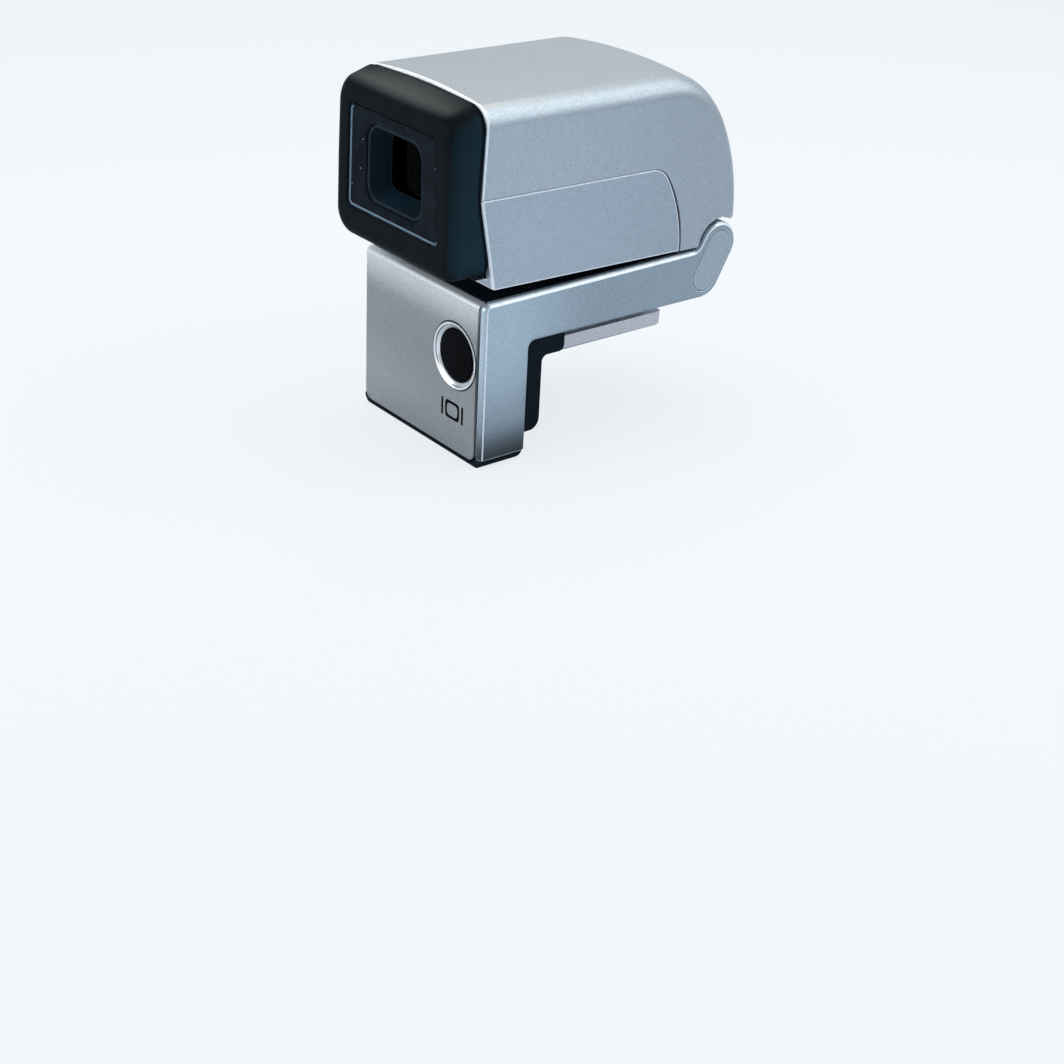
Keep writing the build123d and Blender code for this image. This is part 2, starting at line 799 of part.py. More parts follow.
with BuildPart() as display_gasket:
    with BuildSketch(at_y(gasket_y)):
        with Locations((0, optic_z)):
            Rectangle(panel_width, panel_height)
            Rectangle(panel_width - 2 * gasket_border, panel_height - 2 * gasket_border, mode=Mode.SUBTRACT)
    extrude(amount=-gasket_thick)
display_gasket.part.label = "display_gasket"
export_step(display_gasket.part, "parts/display_gasket.step")

with BuildPart() as display_panel:
    with BuildSketch(at_y(panel_y)):
        with Locations((0, optic_z)):
            Rectangle(panel_width, panel_height)
    extrude(amount=-panel_thick)
display_panel.part.label = "display_panel"
export_step(display_panel.part, "parts/display_panel.step")

with BuildPart() as diffuser:
    with BuildSketch(at_y(diffuser_y)):
        with Locations((0, optic_z)):
            Rectangle(panel_width, panel_height)
    extrude(amount=-diffuser_thick)
diffuser.part.label = "diffuser"
export_step(diffuser.part, "parts/diffuser.step")

led_places = [(0, 0), (-panel_width / 4, 0), (panel_width / 4, 0)]
with BuildPart() as light_guide:
    with BuildSketch(at_y(guide_y)):
        with Locations((0, optic_z)):
            Rectangle(panel_width, panel_height)
    extrude(amount=-guide_thick)
    with BuildSketch(at_y(stack_front_y)):
        with Locations(*[(x, optic_z + z) for x, z in led_places]):
            Rectangle(led_size + 2 * slip, led_size + 2 * slip)
    extrude(amount=led_thick + slip, mode=Mode.SUBTRACT)
light_guide.part.label = "light_guide"
export_step(light_guide.part, "parts/light_guide.step")

with BuildPart() as backlight_leds:
    with BuildSketch(at_y(stack_front_y)):
        with Locations(*[(x, optic_z + z) for x, z in led_places]):
            Rectangle(led_size, led_size)
    extrude(amount=led_thick)
backlight_leds.part.label = "backlight_leds"
export_step(backlight_leds.part, "parts/backlight_leds.step")

with BuildPart() as backlight_board:
    with BuildSketch(at_y(stack_front_y)):
        with Locations((0, optic_z)):
            Rectangle(fit_width, fit_height)
    extrude(amount=-board_thick)
backlight_board.part.label = "backlight_board"
export_step(backlight_board.part, "parts/backlight_board.step")

# Display board across the tube's front end, its chips and its ribbon down to the hinge
head_pcb_thick = 0.8
head_pcb_side_lap = 0.3
head_pcb_width = tube_width + 2 * head_pcb_side_lap
head_pcb_drop = 1.2
head_pcb_top_inset = 0.4
chip_thick = 0.9
driver_chip_size = 6.0
memory_chip_width = 4.0
memory_chip_height = 5.0
chip_gap = 0.6
ribbon_bend = 1.2
ribbon_reach = 3.6
head_pcb_low_z = optic_z - tube_height / 2 - head_pcb_drop
head_pcb_high_z = optic_z + tube_height / 2 - head_pcb_top_inset
head_pcb_front_y = tube_front_y + head_pcb_thick
chip_row_z = optic_z + head_pcb_drop
driver_chip_x = -chip_gap / 2 - driver_chip_size / 2
memory_chip_x = chip_gap / 2 + memory_chip_width / 2

with BuildPart() as head_pcb:
    add(
        box_between(
            (-head_pcb_width / 2, tube_front_y, head_pcb_low_z),
            (head_pcb_width / 2, head_pcb_front_y, head_pcb_high_z),
        )
    )
head_pcb.part.label = "head_pcb"
export_step(head_pcb.part, "parts/head_pcb.step")

with BuildPart() as head_chips:
    with BuildSketch(at_y(head_pcb_front_y)):
        with Locations((driver_chip_x, chip_row_z)):
            Rectangle(driver_chip_size, driver_chip_size)
        with Locations((memory_chip_x, chip_row_z)):
            Rectangle(memory_chip_width, memory_chip_height)
    extrude(amount=-chip_thick)
head_chips.part.label = "head_chips"
export_step(head_chips.part, "parts/head_chips.step")

with BuildPart() as head_flex:
    with BuildSketch(at_x(flex_low_x)):
        with BuildLine():
            ribbon_y = head_pcb_front_y + flex_thick / 2
            cradle_z = hinge_z + ribbon_cradle_radius
            FilletPolyline(
                (ribbon_y, head_pcb_low_z + ribbon_reach),
                (ribbon_y, cradle_z),
                (hinge_y, cradle_z),
                radius=ribbon_bend,
            )
            CenterArc((hinge_y, hinge_z), ribbon_cradle_radius, 90, -ribbon_cradle_turn)
        trace(line_width=flex_thick)
    extrude(amount=flex_width)
head_flex.part.label = "head_flex"
export_step(head_flex.part, "parts/head_flex.step")

# Base shell: the silver arm, the leg's side walls and the two hinge ears, cut from one outline
shell_corner = 0.9
ear_fillet = 0.8
shell_edge_round = 0.45
pocket_front = 6.0
pocket_front_y = hinge_y - pocket_front
ear_sweep_radius = 4.8
ear_front_reach = 1.0
cap_radius = 1.95
cap_thick = 0.6
cap_slip = 0.04
pin_head_radius = 1.85
pin_head_thick = 0.55
foot_screw_x = 4.0
foot_screw_y = 6.5
boss_radius = 1.5
boss_height = 1.7
arm_screw_side_inset = 1.9
arm_screw_x = base_inner - arm_screw_side_inset
arm_screw_inset = 1.8
arm_screw_setback = 3.0
arm_screw_rear_y = leg_front_y + arm_screw_inset
arm_screw_front_y = pocket_front_y - arm_screw_setback
arm_boss_radius = 1.4
arm_screw_head_radius = 1.1
arm_screw_head = 0.4
arm_screw_shank = 0.5
arm_screw_length = 2.8
ribbon_run_z = arm_floor_z + ribbon_rise
cover_sink = 0.15
cover_thick = 0.9
foot_screw_radius = 1.45
foot_screw_head = 0.8
foot_screw_shank = 0.7
foot_screw_length = 5.6
lock_y = 4.0
lock_radius = 1.2
lock_slip = 0.06
slot_low = 2.75
slot_height = 1.3
neck_rear_y = -2.4
neck_length = 2.0
lever_travel = 3.0
cap_edge_x = base_half - cap_thick
foot_screw_places = [(x, y) for x in (-foot_screw_x, foot_screw_x) for y in (-foot_screw_y, foot_screw_y)]
arm_screw_rows = (arm_screw_rear_y, arm_screw_front_y)
arm_screw_places = [(side * arm_screw_x, y) for side in (-1, 1) for y in arm_screw_rows]
ear_middle = ((hinge_y + ear_low_y) / 2, (hinge_z + ear_low_z) / 2)


def cover_underside(plane):
    """Side view of all that lies above the arm cover's underside."""
    low = cover_sink + cover_thick
    with BuildSketch(plane) as above:
        with BuildLine():
            Polyline(
                (leg_rear_y - overrun, arm_top_z(leg_rear_y - overrun) - low),
                (pocket_front_y, arm_top_z(pocket_front_y) - low),
                (pocket_front_y, arm_front_z + overrun),
                (leg_rear_y - overrun, arm_front_z + overrun),
                close=True,
            )
        make_face()
    return above.sketch


with BuildPart() as base_shell:
    with BuildSketch(at_x(-base_half)) as side_view:
        with BuildLine():
            Polyline(
                (leg_rear_y, cap_top_z),
                (leg_rear_y, arm_rear_z),
                (ear_low_y, arm_front_z),
                (ear_low_y, arm_bottom_z),
                (leg_front_y, arm_bottom_z),
                (leg_front_y, cap_top_z),
                close=True,
            )
        make_face()
        SlotCenterPoint(ear_middle, (hinge_y, hinge_z), 2 * ear_radius)
        fillet(side_view.vertices().sort_by_distance((leg_front_y, arm_bottom_z))[0], shell_corner)
        fillet(side_view.vertices().sort_by_distance((leg_rear_y, arm_rear_z))[0], shell_corner)
        ear_root = (ear_low_y - ear_radius / 2, arm_front_z)
        fillet(side_view.vertices().sort_by_distance(ear_root)[0], ear_fillet)
    extrude(amount=base_width)
    rim_edges = base_shell.edges().filter_by(
        lambda edge: abs(abs(edge.center().X) - base_half) < slip and edge.center().Z > cap_top_z + slip
    )
    fillet(rim_edges, shell_edge_round)
    with BuildSketch(at_x(-base_inner)):
        with BuildLine():
            Polyline(
                (leg_rear_y - overrun, cap_top_z - overrun),
                (leg_rear_y - overrun, arm_front_z + overrun),
                (pocket_front_y, arm_front_z + overrun),
                (pocket_front_y, arm_floor_z),
                (leg_front_y, arm_floor_z),
                (leg_front_y, arm_bottom_z),
                (leg_front_y + overrun, arm_bottom_z),
                (leg_front_y + overrun, cap_top_z - overrun),
                close=True,
            )
        make_face()
    extrude(amount=2 * base_inner, mode=Mode.SUBTRACT)
    with BuildSketch(at_x(-ear_inner)):
        with Locations((hinge_y, hinge_z)):
            Circle(ear_sweep_radius)
        with Locations((hinge_y - ear_front_reach + overrun, hinge_z)):
            Rectangle(2 * overrun, 2 * ear_radius + 2 * ear_rise)
    extrude(amount=2 * ear_inner, mode=Mode.SUBTRACT)
    for boss_x, boss_y in foot_screw_places:
        with BuildSketch(at_z(arm_bottom_z)):
            with Locations((boss_x, boss_y)):
                Circle(boss_radius)
        extrude(amount=arm_floor + boss_height)
    for boss_x, boss_y in arm_screw_places:
        with BuildSketch(at_z(arm_bottom_z)):
            with Locations((boss_x, boss_y)):
                Circle(arm_boss_radius)
        extrude(amount=arm_front_height)
    extrude(cover_underside(at_x(-base_inner)), amount=2 * base_inner, mode=Mode.SUBTRACT)
    for boss_x, boss_y in foot_screw_places:
        with BuildSketch(at_z(arm_bottom_z - overrun)):
            with Locations((boss_x, boss_y)):
                Circle(foot_screw_shank + pin_fit)
        extrude(amount=overrun + arm_floor + boss_height + overrun / 2, mode=Mode.SUBTRACT)
    for boss_x, boss_y in arm_screw_places:
        with BuildSketch(at_z(arm_floor_z)):
            with Locations((boss_x, boss_y)):
                Circle(arm_screw_shank + pin_fit)
        extrude(amount=arm_front_height, mode=Mode.SUBTRACT)
    with BuildSketch(at_z(arm_bottom_z - overrun)):
        with Locations((0, lock_y)):
            Circle(lock_radius + lock_slip)
    extrude(amount=arm_floor + overrun + slip, mode=Mode.SUBTRACT)
    with BuildSketch(at_x(0)):
        with Locations((hinge_y, hinge_z)):
            Circle(hinge_pin_radius + pin_fit)
    extrude(amount=base_half + overrun, both=True, mode=Mode.SUBTRACT)
    for side in (-1, 1):
        with BuildSketch(at_x(side * cap_edge_x)):
            SlotCenterPoint(ear_middle, (hinge_y, hinge_z), 2 * (cap_radius + cap_slip))
        extrude(amount=side * overrun, mode=Mode.SUBTRACT)
        with BuildSketch(at_x(side * (cap_edge_x - pin_head_thick))):
            with Locations((hinge_y, hinge_z)):
                Circle(pin_head_radius + pin_fit)
        extrude(amount=side * overrun, mode=Mode.SUBTRACT)
    add(
        box_between(
            (-base_half - overrun, neck_rear_y - slip, arm_bottom_z + slot_low),
            (
                -base_inner + overrun,
                neck_rear_y + neck_length + lever_travel + slip,
                arm_bottom_z + slot_low + slot_height,
            ),
        ),
        mode=Mode.SUBTRACT,
    )
    add(
        box_between(
            (flex_low_x - flex_room, pocket_front_y - flex_room, ribbon_run_z - 2 * flex_room),
            (flex_low_x + flex_width + flex_room, hinge_y, arm_front_z + overrun),
        ),
        mode=Mode.SUBTRACT,
    )
base_shell.part.label = "base_shell"
export_step(base_shell.part, "parts/base_shell.step")

# Arm cover: the black lid over the arm's hollow, with its four screws
with BuildPart() as arm_cover:
    extrude(cover_underside(at_x(-base_inner + slip)), amount=2 * (base_inner - slip))
    with BuildSketch(at_x(-base_half)):
        with BuildLine():
            Polyline(
                (leg_rear_y - 2 * overrun, arm_top_z(leg_rear_y - 2 * overrun) - cover_sink),
                (pocket_front_y + overrun, arm_top_z(pocket_front_y + overrun) - cover_sink),
                (pocket_front_y + overrun, arm_front_z + 2 * overrun),
                (leg_rear_y - 2 * overrun, arm_front_z + 2 * overrun),
                close=True,
            )
        make_face()
    extrude(amount=base_width, mode=Mode.SUBTRACT)
    add(
        box_between(
            (-base_half, leg_rear_y - 2 * overrun, arm_bottom_z),
            (base_half, leg_rear_y + plate_thick + slip, arm_front_z + overrun),
        ),
        mode=Mode.SUBTRACT,
    )
    add(
        box_between(
            (-base_half, pocket_front_y - slip, arm_bottom_z),
            (base_half, pocket_front_y + overrun, arm_front_z + overrun),
        ),
        mode=Mode.SUBTRACT,
    )
    for boss_x, boss_y in arm_screw_places:
        seat_z = arm_top_z(boss_y) - cover_sink - arm_screw_head
        with BuildSketch(at_z(seat_z)):
            with Locations((boss_x, boss_y)):
                Circle(arm_screw_head_radius + slip)
        extrude(amount=overrun, mode=Mode.SUBTRACT)
        with BuildSketch(at_z(seat_z - overrun)):
            with Locations((boss_x, boss_y)):
                Circle(arm_screw_shank + slip)
        extrude(amount=2 * overrun, mode=Mode.SUBTRACT)
arm_cover.part.label = "arm_cover"
export_step(arm_cover.part, "parts/arm_cover.step")

with BuildPart() as arm_screws:
    for boss_x, boss_y in arm_screw_places:
        add(
            screw(
                (boss_x, boss_y, arm_top_z(boss_y) - cover_sink),
                (0, 0, -1),
                arm_screw_head_radius,
                arm_screw_head,
                arm_screw_shank,
                arm_screw_length,
            )
        )
arm_screws.part.label = "arm_screws"
export_step(arm_screws.part, "parts/arm_screws.step")

# Hinge pins, clips, friction washers and the flush caps over the pins
pin_reach = 0.65
pin_inner = knuckle_inner - pin_reach
clip_width = 0.35
clip_back = 0.1
clip_radius = 2.0
washer_radius = 2.6
washer_play = 0.02

with BuildPart() as hinge_pins:
    for side in (-1, 1):
        with BuildSketch(at_x(side * pin_inner)):
            with Locations((hinge_y, hinge_z)):
                Circle(hinge_pin_radius)
        extrude(amount=side * (cap_edge_x - pin_inner - slip))
        with BuildSketch(at_x(side * (cap_edge_x - pin_head_thick))):
            with Locations((hinge_y, hinge_z)):
                Circle(pin_head_radius)
        extrude(amount=side * (pin_head_thick - slip))
hinge_pins.part.label = "hinge_pins"
export_step(hinge_pins.part, "parts/hinge_pins.step")

with BuildPart() as pin_clips:
    for side in (-1, 1):
        with BuildSketch(at_x(side * (knuckle_inner - clip_back))):
            with Locations((hinge_y, hinge_z)):
                Circle(clip_radius)
                Circle(hinge_pin_radius + pin_fit, mode=Mode.SUBTRACT)
        extrude(amount=-side * clip_width)
pin_clips.part.label = "pin_clips"
export_step(pin_clips.part, "parts/pin_clips.step")

with BuildPart() as friction_washers:
    for side in (-1, 1):
        with BuildSketch(at_x(side * (knuckle_outer + washer_play))):
            with Locations((hinge_y, hinge_z)):
                Circle(washer_radius)
                Circle(hinge_pin_radius + running, mode=Mode.SUBTRACT)
        extrude(amount=side * (knuckle_gap - 2 * washer_play))
friction_washers.part.label = "friction_washers"
export_step(friction_washers.part, "parts/friction_washers.step")

for side, cap_name in ((-1, "hinge_cap_left"), (1, "hinge_cap_right")):
    with BuildPart() as hinge_cap:
        with BuildSketch(at_x(side * cap_edge_x)):
            SlotCenterPoint(ear_middle, (hinge_y, hinge_z), 2 * cap_radius)
        extrude(amount=side * cap_thick)
        chamfer(hinge_cap.faces().sort_by(Axis.X)[-1 if side > 0 else 0].edges(), cap_slip)
    hinge_cap.part.label = cap_name
    export_step(hinge_cap.part, f"parts/{cap_name}.step")

# Leg frame: the black moulding inside the leg, whose rounded foot closes the leg below
frame_side_slip = 0.05
leg_frame_wall = 0.8
leg_frame_front = 1.2
leg_frame_floor = 0.75
foot_round = 1.1
foot_rim = 0.35
plate_pocket_round = 1.0
port_width = 12.8
port_height = 3.2
port_slip = 0.1
port_drop = 6.1
base_pcb_thick = 0.8
base_pcb_side_room = 1.7
base_pcb_width = 2 * (base_inner - base_pcb_side_room)
base_pcb_gap = 1.8
base_pcb_low = 1.35
base_pcb_height = 13.8
pcb_post_inset = 2.9
pcb_post_x = base_inner - pcb_post_inset
pcb_post_rise = 2.2
pcb_post_radius = 1.1
pcb_screw_shank = 0.5
cover_side_gap = 1.4
cover_screw_inset = 2.3
cover_screw_x = base_half - cover_side_gap - cover_screw_inset
cover_screw_drop = 9.9
cover_screw_head_radius = 1.1
cover_screw_head = 0.5
cover_screw_shank = 0.55
cover_screw_length = 2.5
port_z = arm_bottom_z - port_drop
cover_screw_z = arm_bottom_z - cover_screw_drop
cover_screw_places = [(side * cover_screw_x, cover_screw_z) for side in (-1, 1)]
leg_inner_y = leg_rear_y + plate_thick
leg_wall_y = leg_front_y - leg_frame_front
base_pcb_front_y = leg_wall_y - base_pcb_gap
base_pcb_rear_y = base_pcb_front_y - base_pcb_thick
base_pcb_low_z = cap_top_z + base_pcb_low
pcb_post_z = base_pcb_low_z + pcb_post_rise
leg_frame_half = base_inner - frame_side_slip

with BuildPart() as leg_frame:
    add(box_between((-base_half, leg_rear_y, leg_bottom_z), (base_half, leg_front_y, cap_top_z)))
    foot_edges = leg_frame.faces().sort_by(Axis.Z)[0].edges().sort_by(Axis.Y)[1:]
    foot_corners = leg_frame.edges().filter_by(Axis.Z).sort_by(Axis.Y)[-2:]
    fillet(foot_edges + foot_corners, foot_round)
    add(
        box_between(
            (-leg_frame_half, leg_inner_y, cap_top_z - leg_frame_floor),
            (leg_frame_half, leg_front_y, arm_bottom_z - slip),
        )
    )
    add(
        box_between(
            (-leg_frame_half + leg_frame_wall, leg_inner_y - slip, cap_top_z),
            (leg_frame_half - leg_frame_wall, leg_wall_y, arm_bottom_z + overrun),
        ),
        mode=Mode.SUBTRACT,
    )
    with BuildSketch(at_y(leg_inner_y)):
        with Locations((0, leg_bottom_z + foot_rim + cap_height)):
            RectangleRounded(2 * base_inner, 2 * cap_height, plate_pocket_round)
    extrude(amount=overrun, mode=Mode.SUBTRACT)
    for side in (-1, 1):
        with BuildSketch(at_y(base_pcb_front_y)):
            with Locations((side * pcb_post_x, pcb_post_z)):
                Circle(pcb_post_radius)
                Circle(pcb_screw_shank + pin_fit, mode=Mode.SUBTRACT)
        extrude(amount=-base_pcb_gap)
    with BuildSketch(at_y(leg_front_y + overrun)):
        with Locations((0, port_z)):
            Rectangle(port_width + 2 * port_slip, port_height + 2 * port_slip)
    extrude(amount=leg_frame_front + 2 * overrun, mode=Mode.SUBTRACT)
    for screw_x, screw_z in cover_screw_places:
        with BuildSketch(at_y(leg_front_y)):
            with Locations((screw_x, screw_z)):
                Circle(cover_screw_shank + pin_fit)
        extrude(amount=leg_frame_front, mode=Mode.SUBTRACT)
leg_frame.part.label = "leg_frame"
export_step(leg_frame.part, "parts/leg_frame.step")

# Rear plate, the ring set into it and the round button that moves inside the ring
plate_corner = 0.9
plate_soft_edge = 0.85
plate_top_gap = 0.1
button_inset = 4.78
button_side = base_inner - button_inset
button_drop = 2.35
ring_radius = 4.33
ring_lip_radius = 4.1
ring_bore_radius = 3.5
ring_proud = 0.08
ring_dish_depth = 0.6
button_radius = 3.42
button_face_depth = 0.42
button_dome = 0.12
button_flange_radius = 3.8
button_flange_thick = 0.55
button_play = 0.1
plate_low_z = leg_bottom_z + foot_rim + plate_gap
plate_high_z = arm_rear_z - plate_top_gap
button_z = arm_bottom_z - button_drop
flange_rear_y = leg_inner_y + button_play
flange_front_y = flange_rear_y + button_flange_thick
button_face_y = leg_rear_y + button_face_depth

with BuildPart() as rear_plate:
    with BuildSketch(at_y(leg_inner_y)) as plate_face:
        with Locations((0, (plate_low_z + plate_high_z) / 2)):
            Rectangle(2 * (base_inner - plate_gap), plate_high_z - plate_low_z)
        fillet(plate_face.vertices().group_by(Axis.Y)[0], plate_corner)
    extrude(amount=plate_thick)
    top_edge = rear_plate.edges().filter_by(Axis.X).group_by(Axis.Z)[-1].sort_by(Axis.Y)[0]
    fillet(top_edge, plate_soft_edge)
    with BuildSketch(at_y(leg_inner_y + overrun)):
        with Locations((button_side, button_z)):
            Circle(ring_radius + pin_fit)
    extrude(amount=plate_thick + 2 * overrun, mode=Mode.SUBTRACT)
rear_plate.part.label = "rear_plate"
export_step(rear_plate.part, "parts/rear_plate.step")

with BuildPart() as button_ring:
    with BuildSketch(Plane.YZ.offset(button_side)):
        with BuildLine():
            Polyline(
                (leg_rear_y - ring_proud, button_z + ring_lip_radius),
                (leg_rear_y - ring_proud + ring_dish_depth, button_z + ring_bore_radius),
                (leg_inner_y, button_z + ring_bore_radius),
                (leg_inner_y, button_z + ring_radius),
                (leg_rear_y - ring_proud, button_z + ring_radius),
                close=True,
            )
        make_face()
    revolve(axis=Axis((button_side, 0, button_z), (0, 1, 0)), revolution_arc=360)
button_ring.part.label = "button_ring"
export_step(button_ring.part, "parts/button_ring.step")

with BuildPart() as mode_button:
    with BuildSketch(Plane.YZ.offset(button_side)):
        with BuildLine():
            flange = Polyline(
                (button_face_y, button_z + button_radius),
                (flange_rear_y, button_z + button_radius),
                (flange_rear_y, button_z + button_flange_radius),
                (flange_front_y, button_z + button_flange_radius),
                (flange_front_y, button_z),
                (button_face_y - button_dome, button_z),
            )
            middle_radius = button_radius / 2
            dome_share = 1 - (middle_radius / button_radius) ** 2
            ThreePointArc(
                flange @ 1,
                (button_face_y - button_dome * dome_share, button_z + middle_radius),
                flange @ 0,
            )
        make_face()
    revolve(axis=Axis((button_side, 0, button_z), (0, 1, 0)), revolution_arc=360)
mode_button.part.label = "mode_button"
export_step(mode_button.part, "parts/mode_button.step")

# Inner cover: the black face of the leg towards the camera, stepped forward under the arm
cover_front_depth = 2.1
cover_drop = 11.85
cover_foot_round = 1.5
step_length = 4.2
step_height = 2.7
step_round = 0.8
inner_cover_front_y = leg_front_y + cover_front_depth
step_front_y = inner_cover_front_y + step_length

with BuildPart() as inner_cover:
    with BuildSketch(at_x(-base_half + cover_side_gap)) as cover_side:
        with BuildLine():
            Polyline(
                (leg_front_y + slip, arm_bottom_z - cover_drop),
                (leg_front_y + slip, arm_bottom_z - slip),
                (step_front_y, arm_bottom_z - slip),
                (step_front_y, arm_bottom_z - step_height),
                (inner_cover_front_y, arm_bottom_z - step_height),
                (inner_cover_front_y, arm_bottom_z - cover_drop),
                close=True,
            )
        make_face()
        fillet(
            cover_side.vertices().sort_by_distance((inner_cover_front_y, arm_bottom_z - cover_drop))[0],
            cover_foot_round,
        )
        fillet(
            cover_side.vertices().sort_by_distance((step_front_y, arm_bottom_z - step_height))[0],
            step_round,
        )
        fillet(
            cover_side.vertices().sort_by_distance((inner_cover_front_y, arm_bottom_z - step_height))[0],
            step_round,
        )
    extrude(amount=2 * (base_half - cover_side_gap))
    with BuildSketch(at_y(inner_cover_front_y + overrun)):
        with Locations((0, port_z)):
            Rectangle(port_width + 2 * slip, port_height + 2 * slip)
    extrude(amount=cover_front_depth + 2 * overrun, mode=Mode.SUBTRACT)
    for screw_x, screw_z in cover_screw_places:
        with BuildSketch(at_y(inner_cover_front_y - cover_screw_head)):
            with Locations((screw_x, screw_z)):
                Circle(cover_screw_head_radius + slip)
        extrude(amount=-overrun, mode=Mode.SUBTRACT)
        with BuildSketch(at_y(inner_cover_front_y)):
            with Locations((screw_x, screw_z)):
                Circle(cover_screw_shank + slip)
        extrude(amount=cover_front_depth + overrun, mode=Mode.SUBTRACT)
inner_cover.part.label = "inner_cover"
export_step(inner_cover.part, "parts/inner_cover.step")

with BuildPart() as inner_cover_screws:
    for screw_x, screw_z in cover_screw_places:
        add(
            screw(
                (screw_x, inner_cover_front_y, screw_z),
                (0, -1, 0),
                cover_screw_head_radius,
                cover_screw_head,
                cover_screw_shank,
                cover_screw_length,
            )
        )
inner_cover_screws.part.label = "inner_cover_screws"
export_step(inner_cover_screws.part, "parts/inner_cover_screws.step")

# Shoe foot: the plate and neck that slide into the accessory shoe
foot_lead = 0.3
foot_corner = 0.6
foot_screw_sink = 0.05
with BuildPart() as shoe_foot:
    with BuildSketch(at_z(0)):
        RectangleRounded(foot_width, foot_length, foot_corner)
    extrude(amount=foot_thick)
    chamfer(shoe_foot.faces().sort_by(Axis.Z)[0].edges(), foot_lead)
    with BuildSketch(at_z(foot_thick)):
        RectangleRounded(neck_width, foot_length, foot_corner)
    extrude(amount=neck_height)
    for boss_x, boss_y in foot_screw_places:
        with BuildSketch(at_z(0)):
            with Locations((boss_x, boss_y)):
                Circle(foot_screw_radius + slip)
        extrude(amount=foot_screw_sink + foot_screw_head, mode=Mode.SUBTRACT)
        with BuildSketch(at_z(0)):
            with Locations((boss_x, boss_y)):
                Circle(foot_screw_shank + pin_fit)
        extrude(amount=foot_thick + neck_height, mode=Mode.SUBTRACT)
    with BuildSketch(at_z(0)):
        with Locations((0, lock_y)):
            Circle(lock_radius + lock_slip)
    extrude(amount=foot_thick + neck_height, mode=Mode.SUBTRACT)
shoe_foot.part.label = "shoe_foot"
export_step(shoe_foot.part, "parts/shoe_foot.step")

with BuildPart() as foot_screws:
    for boss_x, boss_y in foot_screw_places:
        add(
            screw(
                (boss_x, boss_y, foot_screw_sink),
                (0, 0, 1),
                foot_screw_radius,
                foot_screw_head,
                foot_screw_shank,
                foot_screw_length,
            )
        )
foot_screws.part.label = "foot_screws"
export_step(foot_screws.part, "parts/foot_screws.step")

# Leg's circuit board with its chips, screws, the button's switch and the camera connector
pcb_screw_head_radius = 1.0
pcb_screw_head = 0.45
pcb_screw_length = 2.2
switch_size = 5.0
switch_thick = 1.0
main_chip_size = 6.5
main_chip_x = -4.2
main_chip_rise = 8.2
small_chip_width = 4.6
small_chip_height = 3.2
small_chip_screw_gap = 2.7
small_chip_x = pcb_post_x - small_chip_screw_gap - small_chip_width / 2
small_chip_rise = 3.6
base_chip_thick = 0.85
port_wall = 0.3
port_reach = 9.2
tongue_thick = 1.0
tongue_length = 8.2
tongue_inset = 0.7
contact_count = 11
contact_pitch = 0.9
contact_width = 0.4
contact_thick = 0.12
contact_length = 5.0
port_front_y = base_pcb_front_y + port_reach
main_chip_z = base_pcb_low_z + main_chip_rise
small_chip_z = base_pcb_low_z + small_chip_rise
tongue_width = port_width - 2 * port_wall - 2 * tongue_inset
pcb_screw_places = [(side * pcb_post_x, pcb_post_z) for side in (-1, 1)]

with BuildPart() as base_pcb:
    add(
        box_between(
            (-base_pcb_width / 2, base_pcb_rear_y, base_pcb_low_z),
            (base_pcb_width / 2, base_pcb_front_y, base_pcb_low_z + base_pcb_height),
        )
    )
    for screw_x, screw_z in pcb_screw_places:
        with BuildSketch(at_y(base_pcb_front_y)):
            with Locations((screw_x, screw_z)):
                Circle(pcb_screw_shank + slip)
        extrude(amount=base_pcb_thick, mode=Mode.SUBTRACT)
base_pcb.part.label = "base_pcb"
export_step(base_pcb.part, "parts/base_pcb.step")

with BuildPart() as base_chips:
    with BuildSketch(at_y(base_pcb_rear_y)):
        with Locations((main_chip_x, main_chip_z)):
            Rectangle(main_chip_size, main_chip_size)
        with Locations((small_chip_x, small_chip_z)):
            Rectangle(small_chip_width, small_chip_height)
    extrude(amount=base_chip_thick)
base_chips.part.label = "base_chips"
export_step(base_chips.part, "parts/base_chips.step")

with BuildPart() as pcb_screws:
    for screw_x, screw_z in pcb_screw_places:
        add(
            screw(
                (screw_x, base_pcb_rear_y - pcb_screw_head, screw_z),
                (0, 1, 0),
                pcb_screw_head_radius,
                pcb_screw_head,
                pcb_screw_shank,
                pcb_screw_length,
            )
        )
pcb_screws.part.label = "pcb_screws"
export_step(pcb_screws.part, "parts/pcb_screws.step")

with BuildPart() as tact_switch:
    with BuildSketch(at_y(base_pcb_rear_y)):
        with Locations((button_side, button_z)):
            Rectangle(switch_size, switch_size)
    extrude(amount=switch_thick / 2)
    with BuildSketch(at_y(base_pcb_rear_y - switch_thick / 2)):
        with Locations((button_side, button_z)):
            Circle(switch_size / 4)
    extrude(amount=switch_thick / 2)
tact_switch.part.label = "tact_switch"
export_step(tact_switch.part, "parts/tact_switch.step")

with BuildPart() as connector_shell:
    with BuildSketch(at_y(port_front_y)):
        with Locations((0, port_z)):
            Rectangle(port_width, port_height)
            Rectangle(port_width - 2 * port_wall, port_height - 2 * port_wall, mode=Mode.SUBTRACT)
    extrude(amount=port_reach)
connector_shell.part.label = "connector_shell"
export_step(connector_shell.part, "parts/connector_shell.step")

with BuildPart() as connector_tongue:
    with BuildSketch(at_y(base_pcb_front_y)):
        with Locations((0, port_z)):
            Rectangle(port_width - 2 * port_wall - 2 * pin_fit, port_height - 2 * port_wall - 2 * pin_fit)
    extrude(amount=-(port_reach - tongue_length))
    with BuildSketch(at_y(base_pcb_front_y)):
        with Locations((0, port_z)):
            Rectangle(tongue_width, tongue_thick)
    extrude(amount=-tongue_length)
connector_tongue.part.label = "connector_tongue"
export_step(connector_tongue.part, "parts/connector_tongue.step")

